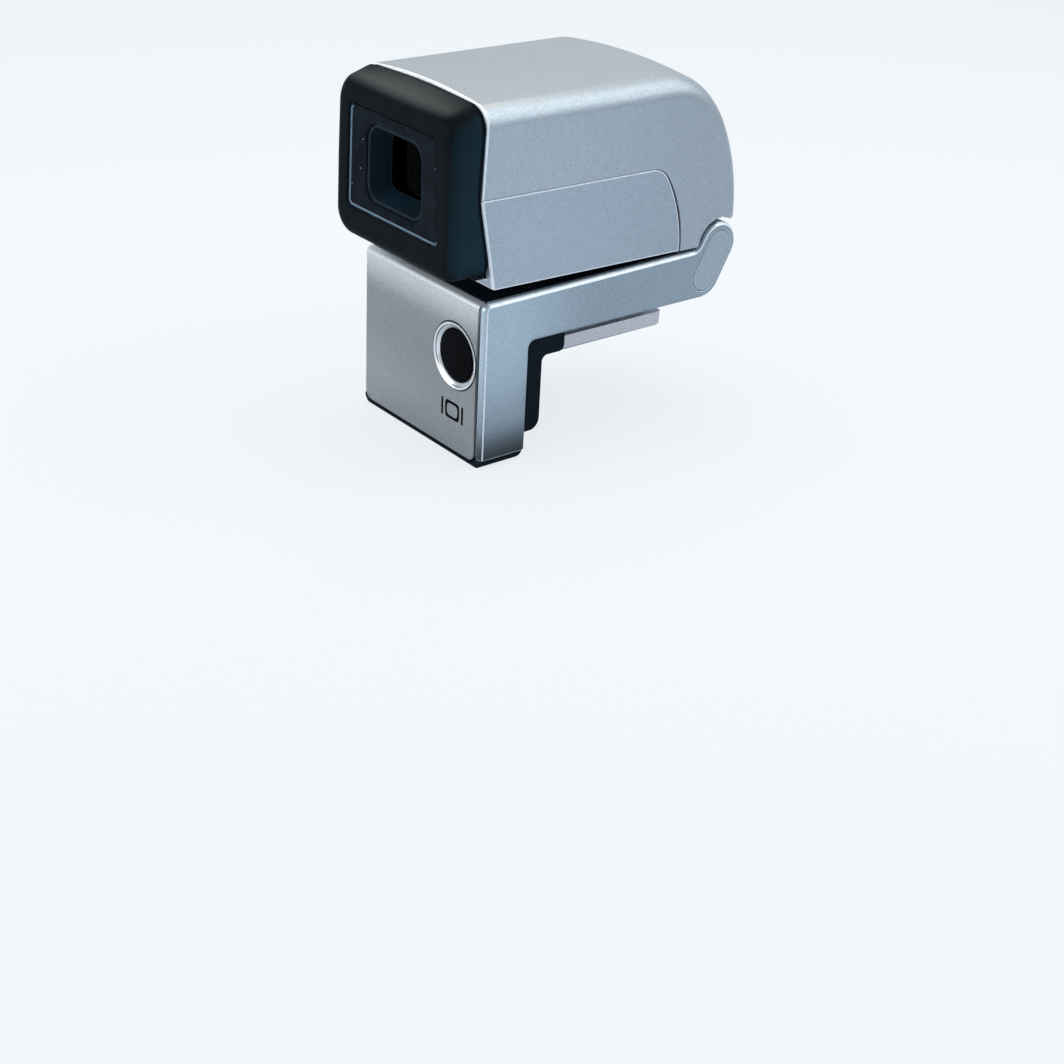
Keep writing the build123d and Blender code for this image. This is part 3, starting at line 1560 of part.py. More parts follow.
with BuildPart() as connector_contacts:
    with BuildSketch(at_y(base_pcb_front_y + tongue_length - tongue_inset)):
        with Locations((0, port_z + tongue_thick / 2 + contact_thick / 2)):
            with GridLocations(contact_pitch, contact_pitch, contact_count, 1):
                Rectangle(contact_width, contact_thick)
    extrude(amount=contact_length)
connector_contacts.part.label = "connector_contacts"
export_step(connector_contacts.part, "parts/connector_contacts.step")

# Ribbon from the leg's board along the arm to the hinge, where it curls round the axis
base_ribbon_y = base_pcb_front_y + flex_thick / 2
ribbon_start_z = base_pcb_low_z + base_pcb_height - flex_tail
entry_y = hinge_y - entry_back
entry_gap_y = hinge_y - entry_y
entry_gap_z = hinge_z - ribbon_run_z
entry_distance = sqrt(entry_gap_y**2 + entry_gap_z**2)
entry_angle = degrees(atan2(entry_gap_z, entry_gap_y) - asin(ribbon_loop_radius / entry_distance))
entry_length = sqrt(entry_distance**2 - ribbon_loop_radius**2)
touch_y = entry_y + entry_length * cos(radians(entry_angle))
touch_z = ribbon_run_z + entry_length * sin(radians(entry_angle))

with BuildPart() as base_flex:
    with BuildSketch(at_x(flex_low_x)):
        with BuildLine():
            FilletPolyline(
                (base_ribbon_y, ribbon_start_z),
                (base_ribbon_y, ribbon_run_z),
                (entry_y, ribbon_run_z),
                (touch_y, touch_z),
                radius=ribbon_bend,
            )
            CenterArc(
                (hinge_y, hinge_z), ribbon_loop_radius, entry_angle - 90, ribbon_loop_turn - entry_angle
            )
        trace(line_width=flex_thick)
    extrude(amount=flex_width)
base_flex.part.label = "base_flex"
export_step(base_flex.part, "parts/base_flex.step")

# Shoe lock: a lever on the left side whose two ramps lift the pin that drops into the shoe
lever_cap_gap = 0.05
lever_cap_thick = 0.55
lever_cap_length = 5.0
lever_cap_height = 2.4
lever_cap_round = 0.5
lever_wall_gap = 0.1
lever_block = 1.4
bar_width = 1.5
bar_low = 0.1
bar_height = 1.6
ramp_inner = 1.35
ramp_outer = 2.1
ramp_rise = 2.41
ramp_reach = 5.9
ramp_lift_share = 0.4
lock_pin_drop = 1.0
pin_flange_rise = 1.3
pin_flange_radius = 2.2
pin_flange_thick = 0.5
pin_stem_radius = 0.8
pin_stem_length = 1.1
pin_tip = 0.25
slot_slip = 0.05
neck_low_z = arm_bottom_z + slot_low + slot_slip
neck_high_z = arm_bottom_z + slot_low + slot_height - slot_slip
neck_middle_y = neck_rear_y + neck_length / 2
bar_low_z = arm_floor_z + bar_low
lever_inner_x = -base_inner + lever_wall_gap
ramp_rear_y = neck_rear_y + bar_width
flange_low_z = arm_floor_z + pin_flange_rise
flange_high_z = flange_low_z + pin_flange_thick

with BuildPart() as lock_lever:
    with BuildSketch(at_x(-base_half - lever_cap_gap)):
        with Locations((neck_middle_y, (neck_low_z + neck_high_z) / 2)):
            RectangleRounded(lever_cap_length, lever_cap_height, lever_cap_round)
    extrude(amount=-lever_cap_thick)
    add(
        box_between(
            (-base_half - lever_cap_gap, neck_rear_y, neck_low_z),
            (lever_inner_x + lever_block, neck_rear_y + neck_length, neck_high_z),
        )
    )
    add(
        box_between(
            (lever_inner_x, neck_rear_y, bar_low_z),
            (lever_inner_x + lever_block, neck_rear_y + neck_length, neck_high_z),
        )
    )
    add(
        box_between(
            (lever_inner_x, neck_rear_y, bar_low_z), (ramp_outer, ramp_rear_y, bar_low_z + bar_height)
        )
    )
    for ramp_x in (-ramp_outer, ramp_inner):
        with BuildSketch(at_x(ramp_x)):
            with BuildLine():
                Polyline(
                    (ramp_rear_y - bar_width, bar_low_z),
                    (ramp_rear_y - bar_width, bar_low_z + ramp_rise),
                    (ramp_rear_y, bar_low_z + ramp_rise),
                    (ramp_rear_y + ramp_reach, bar_low_z + ramp_rise - ramp_lift_share * ramp_reach),
                    (ramp_rear_y + ramp_reach, bar_low_z),
                    close=True,
                )
            make_face()
        extrude(amount=ramp_outer - ramp_inner)
lock_lever.part.label = "lock_lever"
export_step(lock_lever.part, "parts/lock_lever.step")

with BuildPart() as lock_pin:
    with BuildSketch(at_z(-lock_pin_drop)):
        with Locations((0, lock_y)):
            Circle(lock_radius)
    extrude(amount=lock_pin_drop + flange_low_z)
    chamfer(lock_pin.faces().sort_by(Axis.Z)[0].edges(), pin_tip)
    with BuildSketch(at_z(flange_low_z)):
        with Locations((0, lock_y)):
            Circle(pin_flange_radius)
    extrude(amount=pin_flange_thick)
    with BuildSketch(at_z(flange_high_z)):
        with Locations((0, lock_y)):
            Circle(pin_stem_radius)
    extrude(amount=pin_stem_length)
lock_pin.part.label = "lock_pin"
export_step(lock_pin.part, "parts/lock_pin.step")

# Spring between the pin's flange and the arm cover
spring_radius = 1.35
spring_wire = 0.14
spring_turns = 3.5
spring_rest_gap = 0.02
spring_low_z = flange_high_z + spring_wire + spring_rest_gap
spring_top_z = arm_top_z(lock_y - spring_radius - spring_wire) - cover_sink - cover_thick - spring_rest_gap
spring_height = spring_top_z - spring_wire - spring_low_z
with BuildPart() as lock_spring:
    with BuildLine():
        coil = Helix(
            pitch=spring_height / spring_turns,
            height=spring_height,
            radius=spring_radius,
            center=(0, lock_y, spring_low_z),
        )
    with BuildSketch(Plane(origin=coil @ 0, z_dir=coil % 0)):
        Circle(spring_wire)
    sweep(is_frenet=True)
lock_spring.part.label = "lock_spring"
export_step(lock_spring.part, "parts/lock_spring.step")
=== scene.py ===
import json
import logging
import math
from contextlib import contextmanager
from dataclasses import dataclass
from enum import Enum
from typing import Callable, Iterable, Iterator, Sequence

import bmesh
import bpy
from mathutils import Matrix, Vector


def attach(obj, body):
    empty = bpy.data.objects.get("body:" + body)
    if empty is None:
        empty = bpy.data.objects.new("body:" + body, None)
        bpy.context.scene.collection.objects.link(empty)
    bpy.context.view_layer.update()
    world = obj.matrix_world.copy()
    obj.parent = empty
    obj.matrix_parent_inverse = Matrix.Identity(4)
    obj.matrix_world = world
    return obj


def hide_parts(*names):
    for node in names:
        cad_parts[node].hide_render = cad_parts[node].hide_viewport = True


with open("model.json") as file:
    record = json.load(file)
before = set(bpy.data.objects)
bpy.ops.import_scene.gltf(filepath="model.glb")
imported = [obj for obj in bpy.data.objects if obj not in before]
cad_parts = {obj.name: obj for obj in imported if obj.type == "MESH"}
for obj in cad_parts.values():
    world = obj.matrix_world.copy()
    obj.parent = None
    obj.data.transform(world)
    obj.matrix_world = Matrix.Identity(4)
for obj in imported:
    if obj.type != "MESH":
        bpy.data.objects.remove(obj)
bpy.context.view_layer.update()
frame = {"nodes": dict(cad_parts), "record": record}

# Looks of a clip-on electronic viewfinder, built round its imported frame.
# Shapes are modelled in millimetres in the frame's own axes, and end in metres.

MM = 0.001
WELD = 0.0005
OVERRUN = 1.0
FAR_OVERRUN = 3.0
SMOOTH_ANGLE = math.radians(32)
FLAT_ANGLE = math.radians(0.05)
EDGE_ANGLE = math.radians(38)
EDGE_SEGMENTS = 2
WIDE_STEPS = 96
LATHE_STEPS = 128
SCREW_STEPS = 40
SHAFT_STEPS = 32
HOLE_STEPS = 24
# Material index that marks faces for painted edge light: a painted highlight on most pieces, painted shade on
# the eyecup's neck.
PAINTED_EDGE = 1
NO_PAINTED_EDGE = -1

Flat = tuple[float, float]
Spot = tuple[float, float, float]
Tint = tuple[float, float, float]

log = logging.getLogger("viewfinder")


class Axis(Enum):
    """Direction that a shape is drawn out or turned along."""

    X = 0
    Y = 1
    Z = 2

    def place(self, depth: float, flat: Flat) -> Vector:
        """Puts a point of a flat drawing at a depth along the axis.

        Args:
            depth: distance along this axis.
            flat: the drawing's two coordinates, the other axes in their order.

        Returns:
            The point in the frame.
        """
        spot = list(flat)
        spot.insert(self.value, depth)
        return Vector(spot)


# Outlines


def swung(spoke: Vector, turn: float) -> Flat:
    """A flat spoke turned by an angle.

    Args:
        spoke: the spoke.
        turn: the angle in radians, against the clock.

    Returns:
        Where it ends.
    """
    return (
        spoke.x * math.cos(turn) - spoke.y * math.sin(turn),
        spoke.x * math.sin(turn) + spoke.y * math.cos(turn),
    )


def arc_spots(middle: Flat, radius: float, turns: Iterable[float]) -> list[Flat]:
    """Points on a circle, one for each angle.

    Args:
        middle: the circle's middle.
        radius: its radius.
        turns: the angles in radians.

    Returns:
        The points.
    """
    return [(middle[0] + radius * math.cos(turn), middle[1] + radius * math.sin(turn)) for turn in turns]


def quarter(steps: int) -> list[float]:
    """Angles of a quarter turn in equal steps, with both ends."""
    return [math.radians(90 * step / steps) for step in range(steps + 1)]


class Trace:
    """Outline drawn from point to point, as straight runs and tangent arcs."""

    def __init__(self, start: Flat) -> None:
        """Starts at a point, facing along the first axis."""
        self.points: list[Flat] = [start]
        self.heading = Vector((1.0, 0.0))

    def line(self, *ends: Flat) -> "Trace":
        """Draws straight runs.

        Args:
            ends: where each run ends.

        Returns:
            The same outline, to draw on.
        """
        for end in ends:
            self.heading = (Vector(end) - Vector(self.points[-1])).normalized()
            self.points.append(end)
        return self

    def arc(self, end: Flat, steps: int = 12) -> "Trace":
        """Draws an arc that leaves along the heading and ends at a point.

        Args:
            end: where the arc ends.
            steps: how many straight bits stand for it.

        Returns:
            The same outline, to draw on.
        """
        start = Vector(self.points[-1])
        chord = Vector(end) - start
        half_turn = self.heading.angle_signed(chord)
        radius = chord.length / (2 * math.sin(abs(half_turn)))
        side = 1 if half_turn > 0 else -1
        inward = Vector((self.heading.y, -self.heading.x)) * side
        middle = start + inward * radius
        for step in range(1, steps + 1):
            turn = -2 * half_turn * step / steps
            self.points.append(tuple(middle + Vector(swung(start - middle, turn))))
        self.heading = Vector(swung(self.heading, -2 * half_turn))
        return self


def rounded(corners: Sequence[tuple[float, float, float]], steps: int = 8) -> list[Flat]:
    """Closed outline whose corners are rounded.

    Args:
        corners: each corner's two coordinates and its radius, zero for a sharp one.
        steps: straight bits in each rounded corner.

    Returns:
        The outline's points.
    """
    outline: list[Flat] = []
    for number, (across, along, radius) in enumerate(corners):
        corner = Vector((across, along))
        if radius <= 0:
            outline.append(tuple(corner))
            continue
        back = (Vector(corners[number - 1][:2]) - corner).normalized()
        ahead = (Vector(corners[(number + 1) % len(corners)][:2]) - corner).normalized()
        half = back.angle(ahead) / 2
        middle = corner + (back + ahead).normalized() * (radius / math.sin(half))
        first = corner + back * (radius / math.tan(half)) - middle
        last = corner + ahead * (radius / math.tan(half)) - middle
        sweep = first.angle_signed(last)
        for step in range(steps + 1):
            x, y = swung(first, -sweep * step / steps)
            outline.append((middle.x + x, middle.y + y))
    return outline


def soft_frame(width: float, low: float, high: float, corner: float, crown: float = 0.0) -> list[Flat]:
    """Rounded rectangle about the middle plane, whose top edge may arch.

    Args:
        width: full width.
        low: height of the lower edge.
        high: height of the upper edge at its middle.
        corner: radius of the corners.
        crown: how far the upper corners lie below its middle.

    Returns:
        The outline's points, as many for any size.
    """
    half = width / 2
    steps = 10
    side_stops = 8
    corners = ((half, low), (half, high), (-half, high), (-half, low))
    ring = rounded([(*spot, corner) for spot in corners], steps)
    full: list[Flat] = []
    for number, spot in enumerate(ring):
        full.append(spot)
        if number % (steps + 1) == steps:
            after = ring[(number + 1) % len(ring)]
            for stop in range(1, side_stops):
                share = stop / side_stops
                full.append(tuple(near + (far - near) * share for near, far in zip(spot, after)))
    middle = (low + high) / 2
    reach = high - middle
    return [(x, z - crown * (x / half) ** 2 * max(0.0, (z - middle) / reach)) for x, z in full]


# Shaping a piece


class Piece:
    """A mesh that is shaped in millimetres, then finished and put on its body."""

    def __init__(self, name: str) -> None:
        """Takes the primitive that was just added and names it.

        Args:
            name: the piece's name.
        """
        self.obj = bpy.context.active_object
        self.obj.name = name
        self.obj.data.name = name
        while len(self.obj.data.materials) <= PAINTED_EDGE:
            self.obj.data.materials.append(None)

    def pick(self) -> None:
        """Makes the piece the active one and the only one selected."""
        bpy.ops.object.select_all(action="DESELECT")
        self.obj.select_set(True)
        bpy.context.view_layer.objects.active = self.obj

    @classmethod
    def prism(cls, name: str, outline: Sequence[Flat], axis: Axis, low: float, high: float) -> "Piece":
        """Draws a flat outline out along an axis.

        Args:
            name: the piece's name.
            outline: points of the flat drawing.
            axis: direction to draw out along.
            low: where the shape begins on the axis.
            high: where it ends.

        Returns:
            The closed solid.
        """
        bpy.ops.object.select_all(action="DESELECT")
        bpy.ops.mesh.primitive_circle_add(vertices=len(outline), fill_type="NGON")
        piece = cls(name)
        for vertex, flat in zip(piece.obj.data.vertices, outline):
            vertex.co = axis.place(low, flat)
        with piece.editing():
            bpy.ops.mesh.select_all(action="SELECT")
            travel = axis.place(high - low, (0.0, 0.0))
            bpy.ops.mesh.extrude_region_move(TRANSFORM_OT_translate={"value": travel})
        return piece.outward()

    @classmethod
    def skin(cls, name: str, sections: Sequence[Sequence[Spot]], looped: bool = False) -> "Piece":
        """Lays a skin over closed sections that have the same number of points.

        Args:
            name: the piece's name.
            sections: the rings of points, in order.
            looped: whether the last section joins the first; otherwise both ends are filled.

        Returns:
            The closed solid.
        """
        rows = [[*section, section[0]] for section in sections]
        if looped:
            rows.append(rows[0])
        bpy.ops.object.select_all(action="DESELECT")
        bpy.ops.mesh.primitive_grid_add(x_subdivisions=len(rows[0]) - 1, y_subdivisions=len(rows) - 1)
        piece = cls(name)
        for vertex, spot in zip(piece.obj.data.vertices, (spot for row in rows for spot in row)):
            vertex.co = spot
        with piece.editing():
            bpy.ops.mesh.select_all(action="SELECT")
            bpy.ops.mesh.remove_doubles(threshold=WELD)
            if not looped:
                bpy.ops.mesh.select_all(action="SELECT")
                bpy.ops.mesh.fill_holes(sides=0)
        return piece.outward()

    @classmethod
    def turned(cls, name: str, profile: Sequence[Flat], middle: Flat) -> "Piece":
        """Turns a profile about a line along Y, as on a lathe.

        Args:
            name: the piece's name.
            profile: closed outline of (radius, y) points.
            middle: x and z of the line.

        Returns:
            The closed solid.
        """
        bpy.ops.object.select_all(action="DESELECT")
        bpy.ops.mesh.primitive_circle_add(vertices=len(profile), fill_type="NOTHING")
        piece = cls(name)
        for vertex, (radius, depth) in zip(piece.obj.data.vertices, profile):
            vertex.co = (middle[0] + radius, depth, middle[1])
        with piece.editing():
            bpy.ops.mesh.select_all(action="SELECT")
            centre = (middle[0], 0.0, middle[1])
            bpy.ops.mesh.spin(steps=LATHE_STEPS, angle=2 * math.pi, center=centre, axis=(0.0, 1.0, 0.0))
            bpy.ops.mesh.select_all(action="SELECT")
            bpy.ops.mesh.remove_doubles(threshold=WELD)
            bpy.ops.mesh.dissolve_degenerate(threshold=WELD)
        return piece.outward()

    @classmethod
    def block(cls, name: str, low: Spot, high: Spot) -> "Piece":
        """Square block between two corners, mostly a cutter.

        Args:
            name: the piece's name.
            low: corner with the lowest coordinates.
            high: corner with the highest coordinates.

        Returns:
            The closed solid.
        """
        bpy.ops.object.select_all(action="DESELECT")
        middle = (Vector(low) + Vector(high)) / 2
        bpy.ops.mesh.primitive_cube_add(size=1.0, location=middle)
        piece = cls(name)
        piece.obj.scale = Vector(high) - Vector(low)
        bpy.ops.object.transform_apply(location=True, rotation=True, scale=True)
        return piece

    @contextmanager
    def editing(self) -> Iterator[bmesh.types.BMesh]:
        """Edit mode with nothing selected, for as long as the block runs.

        Yields:
            The mesh in edit mode.
        """
        self.pick()
        bpy.ops.object.mode_set(mode="EDIT")
        bpy.ops.mesh.select_mode(type="EDGE")
        bpy.ops.mesh.select_all(action="DESELECT")
        yield bmesh.from_edit_mesh(self.obj.data)
        bpy.ops.object.mode_set(mode="OBJECT")

    def outward(self) -> "Piece":
        """Turns every face outwards.

        Returns:
            The same piece.
        """
        with self.editing():
            bpy.ops.mesh.select_all(action="SELECT")
            bpy.ops.mesh.normals_make_consistent(inside=False)
        return self

    def bevel(
        self, wanted: Callable[[bmesh.types.BMEdge], bool], width: float, segments: int, rim: bool = False
    ) -> "Piece":
        """Rounds the edges that a test picks.

        Args:
            wanted: test of an edge.
            width: radius of the round.
            segments: faces across it.
            rim: whether the round gets painted edge light.

        Returns:
            The same piece.
        """
        with self.editing() as mesh:
            for edge in mesh.edges:
                edge.select_set(wanted(edge))
            bpy.ops.mesh.bevel(
                offset_type="OFFSET",
                offset=width,
                segments=segments,
                affect="EDGES",
                material=PAINTED_EDGE if rim else NO_PAINTED_EDGE,
            )
        return self

    def mark_painted_edge(self, wanted: Callable[[bpy.types.MeshPolygon], bool]) -> "Piece":
        """Marks the faces that a test picks for painted edge light.

        Args:
            wanted: test of a face.

        Returns:
            The same piece.
        """
        for face in self.obj.data.polygons:
            if wanted(face):
                face.material_index = PAINTED_EDGE
        return self

    def apply(self, kind: str, **settings: object) -> "Piece":
        """Adds a modifier with its settings and applies it.

        Args:
            kind: the modifier's type.
            settings: values by the modifier's own names for them.

        Returns:
            The same piece.
        """
        self.pick()
        modifier = self.obj.modifiers.new(kind, kind)
        for key, value in settings.items():
            setattr(modifier, key, value)
        bpy.ops.object.modifier_apply(modifier=modifier.name)
        return self

    def combine(self, other: "Piece", operation: str) -> "Piece":
        """Boolean with another piece, which is used up.

        Args:
            other: the other piece.
            operation: kind of boolean.

        Returns:
            The same piece.
        """
        self.apply("BOOLEAN", operation=operation, object=other.obj, solver="EXACT")
        bpy.data.objects.remove(other.obj)
        return self

    def cut(self, *others: "Piece") -> "Piece":
        """Takes other pieces away from this one.

        Args:
            others: the cutters, which are used up.

        Returns:
            The same piece.
        """
        for other in others:
            self.combine(other, "DIFFERENCE")
        return self

    def fuse(self, *others: "Piece") -> "Piece":
        """Joins other pieces to this one.

        Args:
            others: the pieces to join, which are used up.

        Returns:
            The same piece.
        """
        for other in others:
            self.combine(other, "UNION")
        return self

    def break_edges(self, width: float, rim: bool = False) -> "Piece":
        """Takes the sharpness off every edge that turns by more than a small angle.

        Args:
            width: radius of the round.
            rim: whether the round gets painted edge light.

        Returns:
            The same piece.
        """
        with self.editing():
            bpy.ops.mesh.select_all(action="SELECT")
            bpy.ops.mesh.remove_doubles(threshold=WELD * 4)
            bpy.ops.mesh.select_all(action="SELECT")
            bpy.ops.mesh.dissolve_limited(angle_limit=FLAT_ANGLE, delimit={"MATERIAL"})
        spots = [vertex.co.copy() for vertex in self.obj.data.vertices]
        low = [min(spot[axis] for spot in spots) for axis in range(3)]
        high = [max(spot[axis] for spot in spots) for axis in range(3)]
        self.apply(
            "BEVEL",
            width=width,
            segments=EDGE_SEGMENTS,
            limit_method="ANGLE",
            angle_limit=EDGE_ANGLE,
            use_clamp_overlap=False,
            miter_outer="MITER_ARC",
            material=PAINTED_EDGE if rim else NO_PAINTED_EDGE,
        )
        for vertex in self.obj.data.vertices:
            vertex.co = [max(low[axis], min(high[axis], vertex.co[axis])) for axis in range(3)]
        return self

    def finish(self, body: str, slot: str, look: bpy.types.Material, *nodes: str) -> None:
        """Brings the piece to metres, shades it, dresses it and puts it on its body.

        Args:
            body: the body that it moves with.
            slot: the record's material slot, not used.
            look: its material.
            nodes: the nodes of the frame that it stands for.
        """
        self.pick()
        self.obj.scale = (MM, MM, MM)
        bpy.ops.object.transform_apply(location=True, rotation=True, scale=True)
        bpy.ops.object.shade_smooth_by_angle(angle=SMOOTH_ANGLE)
        self.apply("WEIGHTED_NORMAL", keep_sharp=True, mode="FACE_AREA")
        faces = self.obj.data.polygons
        # The marked faces are stored as the rim attribute, which the materials turn into painted edge light.
        rim = self.obj.data.attributes.new("rim", "FLOAT", "FACE")
        rim.data.foreach_set("value", [float(face.material_index == PAINTED_EDGE) for face in faces])
        for face in faces:
            face.material_index = 0
        self.obj.data.materials.clear()
        self.obj.data.materials.append(look)
        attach(self.obj, body)
        if nodes:
            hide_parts(*nodes)
        triangles = sum(len(face.vertices) - 2 for face in faces)
        log.info("%s: %d triangles on %s", self.obj.name, triangles, body)


# Materials


class Graph:
    """A node tree while it is wired."""

    def __init__(self, tree: bpy.types.NodeTree, look: bpy.types.Material | None = None) -> None:
        """Holds the tree, and the material that it belongs to."""
        self.tree = tree
        self.look = look

    def node(self, kind: str, **inputs: object) -> bpy.types.Node:
        """Adds a node; each named value is a setting of the node, or goes to the input of that name.

        Args:
            kind: the node's type.
            inputs: settings, values and output sockets, with spaces in names as underscores.

        Returns:
            The node.
        """
        node = self.tree.nodes.new(kind)
        for key, value in inputs.items():
            if hasattr(node, key):
                setattr(node, key, value)
            else:
                self.feed(node, **{key: value})
        return node

    def feed(self, node: bpy.types.Node, **inputs: object) -> None:
        """Sets or wires inputs of a node.

        Args:
            node: the node.
            inputs: values or output sockets, each under the input's name with spaces as
                underscores, or under its number with at before it.
        """
        for key, value in inputs.items():
            numbered = key.startswith("at") and key[2:].isdigit()
            socket = node.inputs[int(key[2:]) if numbered else key.replace("_", " ")]
            if isinstance(value, bpy.types.NodeSocket):
                self.tree.links.new(value, socket)
            elif socket.type == "RGBA":
                socket.default_value = (*value, 1.0)
            else:
                socket.default_value = value

    def math(self, operation: str, first: object, second: object = 0.0) -> bpy.types.NodeSocket:
        """Arithmetic on two values or sockets."""
        return self.node("ShaderNodeMath", operation=operation, at0=first, at1=second).outputs[0]

    def mix(self, share: object, first: object, second: object) -> bpy.types.NodeSocket:
        """Mix of two colours by a share."""
        return self.node("ShaderNodeMix", data_type="RGBA", at0=share, at6=first, at7=second).outputs[2]

    def spread(
        self, value: object, low: float, high: float, to_low: float = 0.0, to_high: float = 1.0
    ) -> bpy.types.NodeSocket:
        """Maps a range of values to another, clamped."""
        node = self.node("ShaderNodeMapRange", Value=value, at1=low, at2=high, at3=to_low, at4=to_high)
        return node.outputs[0]

    def noise(self, place: object, scale: object, detail: float) -> bpy.types.NodeSocket:
        """Cloudy noise at each place, from 0 to 1."""
        return self.node("ShaderNodeTexNoise", Vector=place, Scale=scale, Detail=detail).outputs[0]

    def scaled(self, colour: object, gain: object) -> bpy.types.NodeSocket:
        """A colour made lighter or darker by a gain."""
        return self.node("ShaderNodeVectorMath", operation="SCALE", at0=colour, Scale=gain).outputs[0]


def group(
    name: str, inputs: Sequence[tuple[str, str, object]], outputs: Sequence[tuple[str, str]]
) -> tuple[Graph, bpy.types.Node, bpy.types.Node]:
    """Starts a shader node group.

    Args:
        name: the group's name.
        inputs: each input's name, socket type and value.
        outputs: each output's name and socket type.

    Returns:
        The graph to wire, its input node and its output node.
    """
    tree = bpy.data.node_groups.new(name, "ShaderNodeTree")
    for label, kind, value in inputs:
        socket = tree.interface.new_socket(name=label, in_out="INPUT", socket_type=kind)
        if value is not None:
            socket.default_value = value
    for label, kind in outputs:
        tree.interface.new_socket(name=label, in_out="OUTPUT", socket_type=kind)
    graph = Graph(tree)
    return graph, graph.node("NodeGroupInput"), graph.node("NodeGroupOutput")


VECTOR = "NodeSocketVector"
COLOUR = "NodeSocketColor"
VALUE = "NodeSocketFloat"
FLANK_DEPTHS: Flat = (11.2, 12.5)


def metal_fleck() -> bpy.types.NodeTree:
    """Fine bright and dark flakes of a metallic paint, over a slow change of tone.

    Returns:
        The node group.
    """
    graph, given, made = group(
        "metal_fleck",
        (("Place", VECTOR, None), ("Base", COLOUR, None), ("Flake", VALUE, 0.11), ("Contrast", VALUE, 0.3)),
        (("Colour", COLOUR), ("Height", VALUE), ("Mask", VALUE)),
    )
    place, base = given.outputs["Place"], given.outputs["Base"]
    size = graph.math("DIVIDE", 1.0, given.outputs["Flake"])
    flakes = graph.node("ShaderNodeTexVoronoi", Vector=place, Scale=size, Randomness=1.0)
    random = graph.node("ShaderNodeSeparateColor", Color=flakes.outputs["Color"]).outputs[0]
    grain = graph.noise(place, graph.math("MULTIPLY", size, 0.45), 3.0)
    slow = graph.noise(place, 0.12, 2.0)
    blend = graph.math("ADD", graph.math("MULTIPLY", random, 0.6), graph.math("MULTIPLY", grain, 0.4))
    mask = graph.spread(blend, 0.2, 0.8)
    light = graph.math("MULTIPLY", graph.math("SUBTRACT", mask, 0.5), given.outputs["Contrast"])
    drift = graph.math("MULTIPLY", graph.math("SUBTRACT", slow, 0.5), 0.08)
    gain = graph.math("ADD", graph.math("ADD", light, drift), 1.0)
    graph.feed(made, Colour=graph.scaled(base, gain), Height=mask, Mask=mask)
    return graph.tree


def edge_wear() -> bpy.types.NodeTree:
    """Masks of every edge, for rubbing marks with a painted highlight in them, and of the faces marked for
    painted edge light, broken up by noise.

    Returns:
        The node group.
    """
    graph, given, made = group(
        "edge_wear",
        (("Place", VECTOR, None), ("Width", VALUE, 0.22), ("Breaks", VALUE, 1.2)),
        (("Mask", VALUE), ("Rim", VALUE)),
    )
    # Edge mask: every edge lightened, rubbing plus a painted highlight.
    reach = graph.math("MULTIPLY", given.outputs["Width"], MM)
    softened = graph.node("ShaderNodeBevel", samples=6, Radius=reach).outputs[0]
    facing = graph.node("ShaderNodeNewGeometry").outputs["Normal"]
    agree = graph.node("ShaderNodeVectorMath", operation="DOT_PRODUCT", at0=softened, at1=facing)
    noise = graph.noise(given.outputs["Place"], given.outputs["Breaks"], 4.0)
    turn = graph.spread(graph.math("SUBTRACT", 1.0, agree.outputs["Value"]), 0.02, 0.2)
    broken = graph.math("MULTIPLY", turn, graph.spread(noise, 0.35, 0.65, 0.25, 1.0))
    # Faces marked for painted edge light, broken into patches.
    painted_edge = graph.node("ShaderNodeAttribute", attribute_name="rim").outputs["Fac"]
    patchy = graph.spread(noise, 0.3, 0.7, 0.72, 1.0)
    graph.feed(made, Mask=broken, Rim=graph.math("MULTIPLY", painted_edge, patchy))
    return graph.tree


def moulded_grain() -> bpy.types.NodeTree:
    """Fine pebbled skin of moulded plastic and rubber.

    Returns:
        The node group.
    """
    graph, given, made = group(
        "moulded_grain",
        (("Place", VECTOR, None), ("Grain", VALUE, 0.16)),
        (("Height", VALUE), ("Tone", VALUE)),
    )
    place = given.outputs["Place"]
    size = graph.math("DIVIDE", 1.0, given.outputs["Grain"])
    pebble = graph.node("ShaderNodeTexVoronoi", Vector=place, Scale=size, feature="SMOOTH_F1")
    fine = graph.noise(place, graph.math("MULTIPLY", size, 1.7), 4.0)
    height = graph.math("ADD", graph.math("MULTIPLY", pebble.outputs["Distance"], 0.6), fine)
    graph.feed(made, Height=height, Tone=graph.noise(place, 0.25, 3.0))
    return graph.tree


def dust_specks() -> bpy.types.NodeTree:
    """Sparse specks of dust that settle on a dark glossy face.

    Returns:
        The node group.
    """
    graph, given, made = group(
        "dust_specks",
        (("Place", VECTOR, None), ("Spacing", VALUE, 1.1), ("Share", VALUE, 0.35)),
        (("Mask", VALUE),),
    )
    cells = graph.node(
        "ShaderNodeTexVoronoi",
        Vector=given.outputs["Place"],
        Scale=graph.math("DIVIDE", 1.0, given.outputs["Spacing"]),
        Randomness=1.0,
    )
    random = graph.node("ShaderNodeSeparateColor", Color=cells.outputs["Color"]).outputs
    chosen = graph.math("LESS_THAN", random[0], given.outputs["Share"])
    radius = graph.math("MULTIPLY", random[1], 0.075)
    dot = graph.math("LESS_THAN", cells.outputs["Distance"], radius)
    graph.feed(made, Mask=graph.math("MULTIPLY", chosen, dot))
    return graph.tree


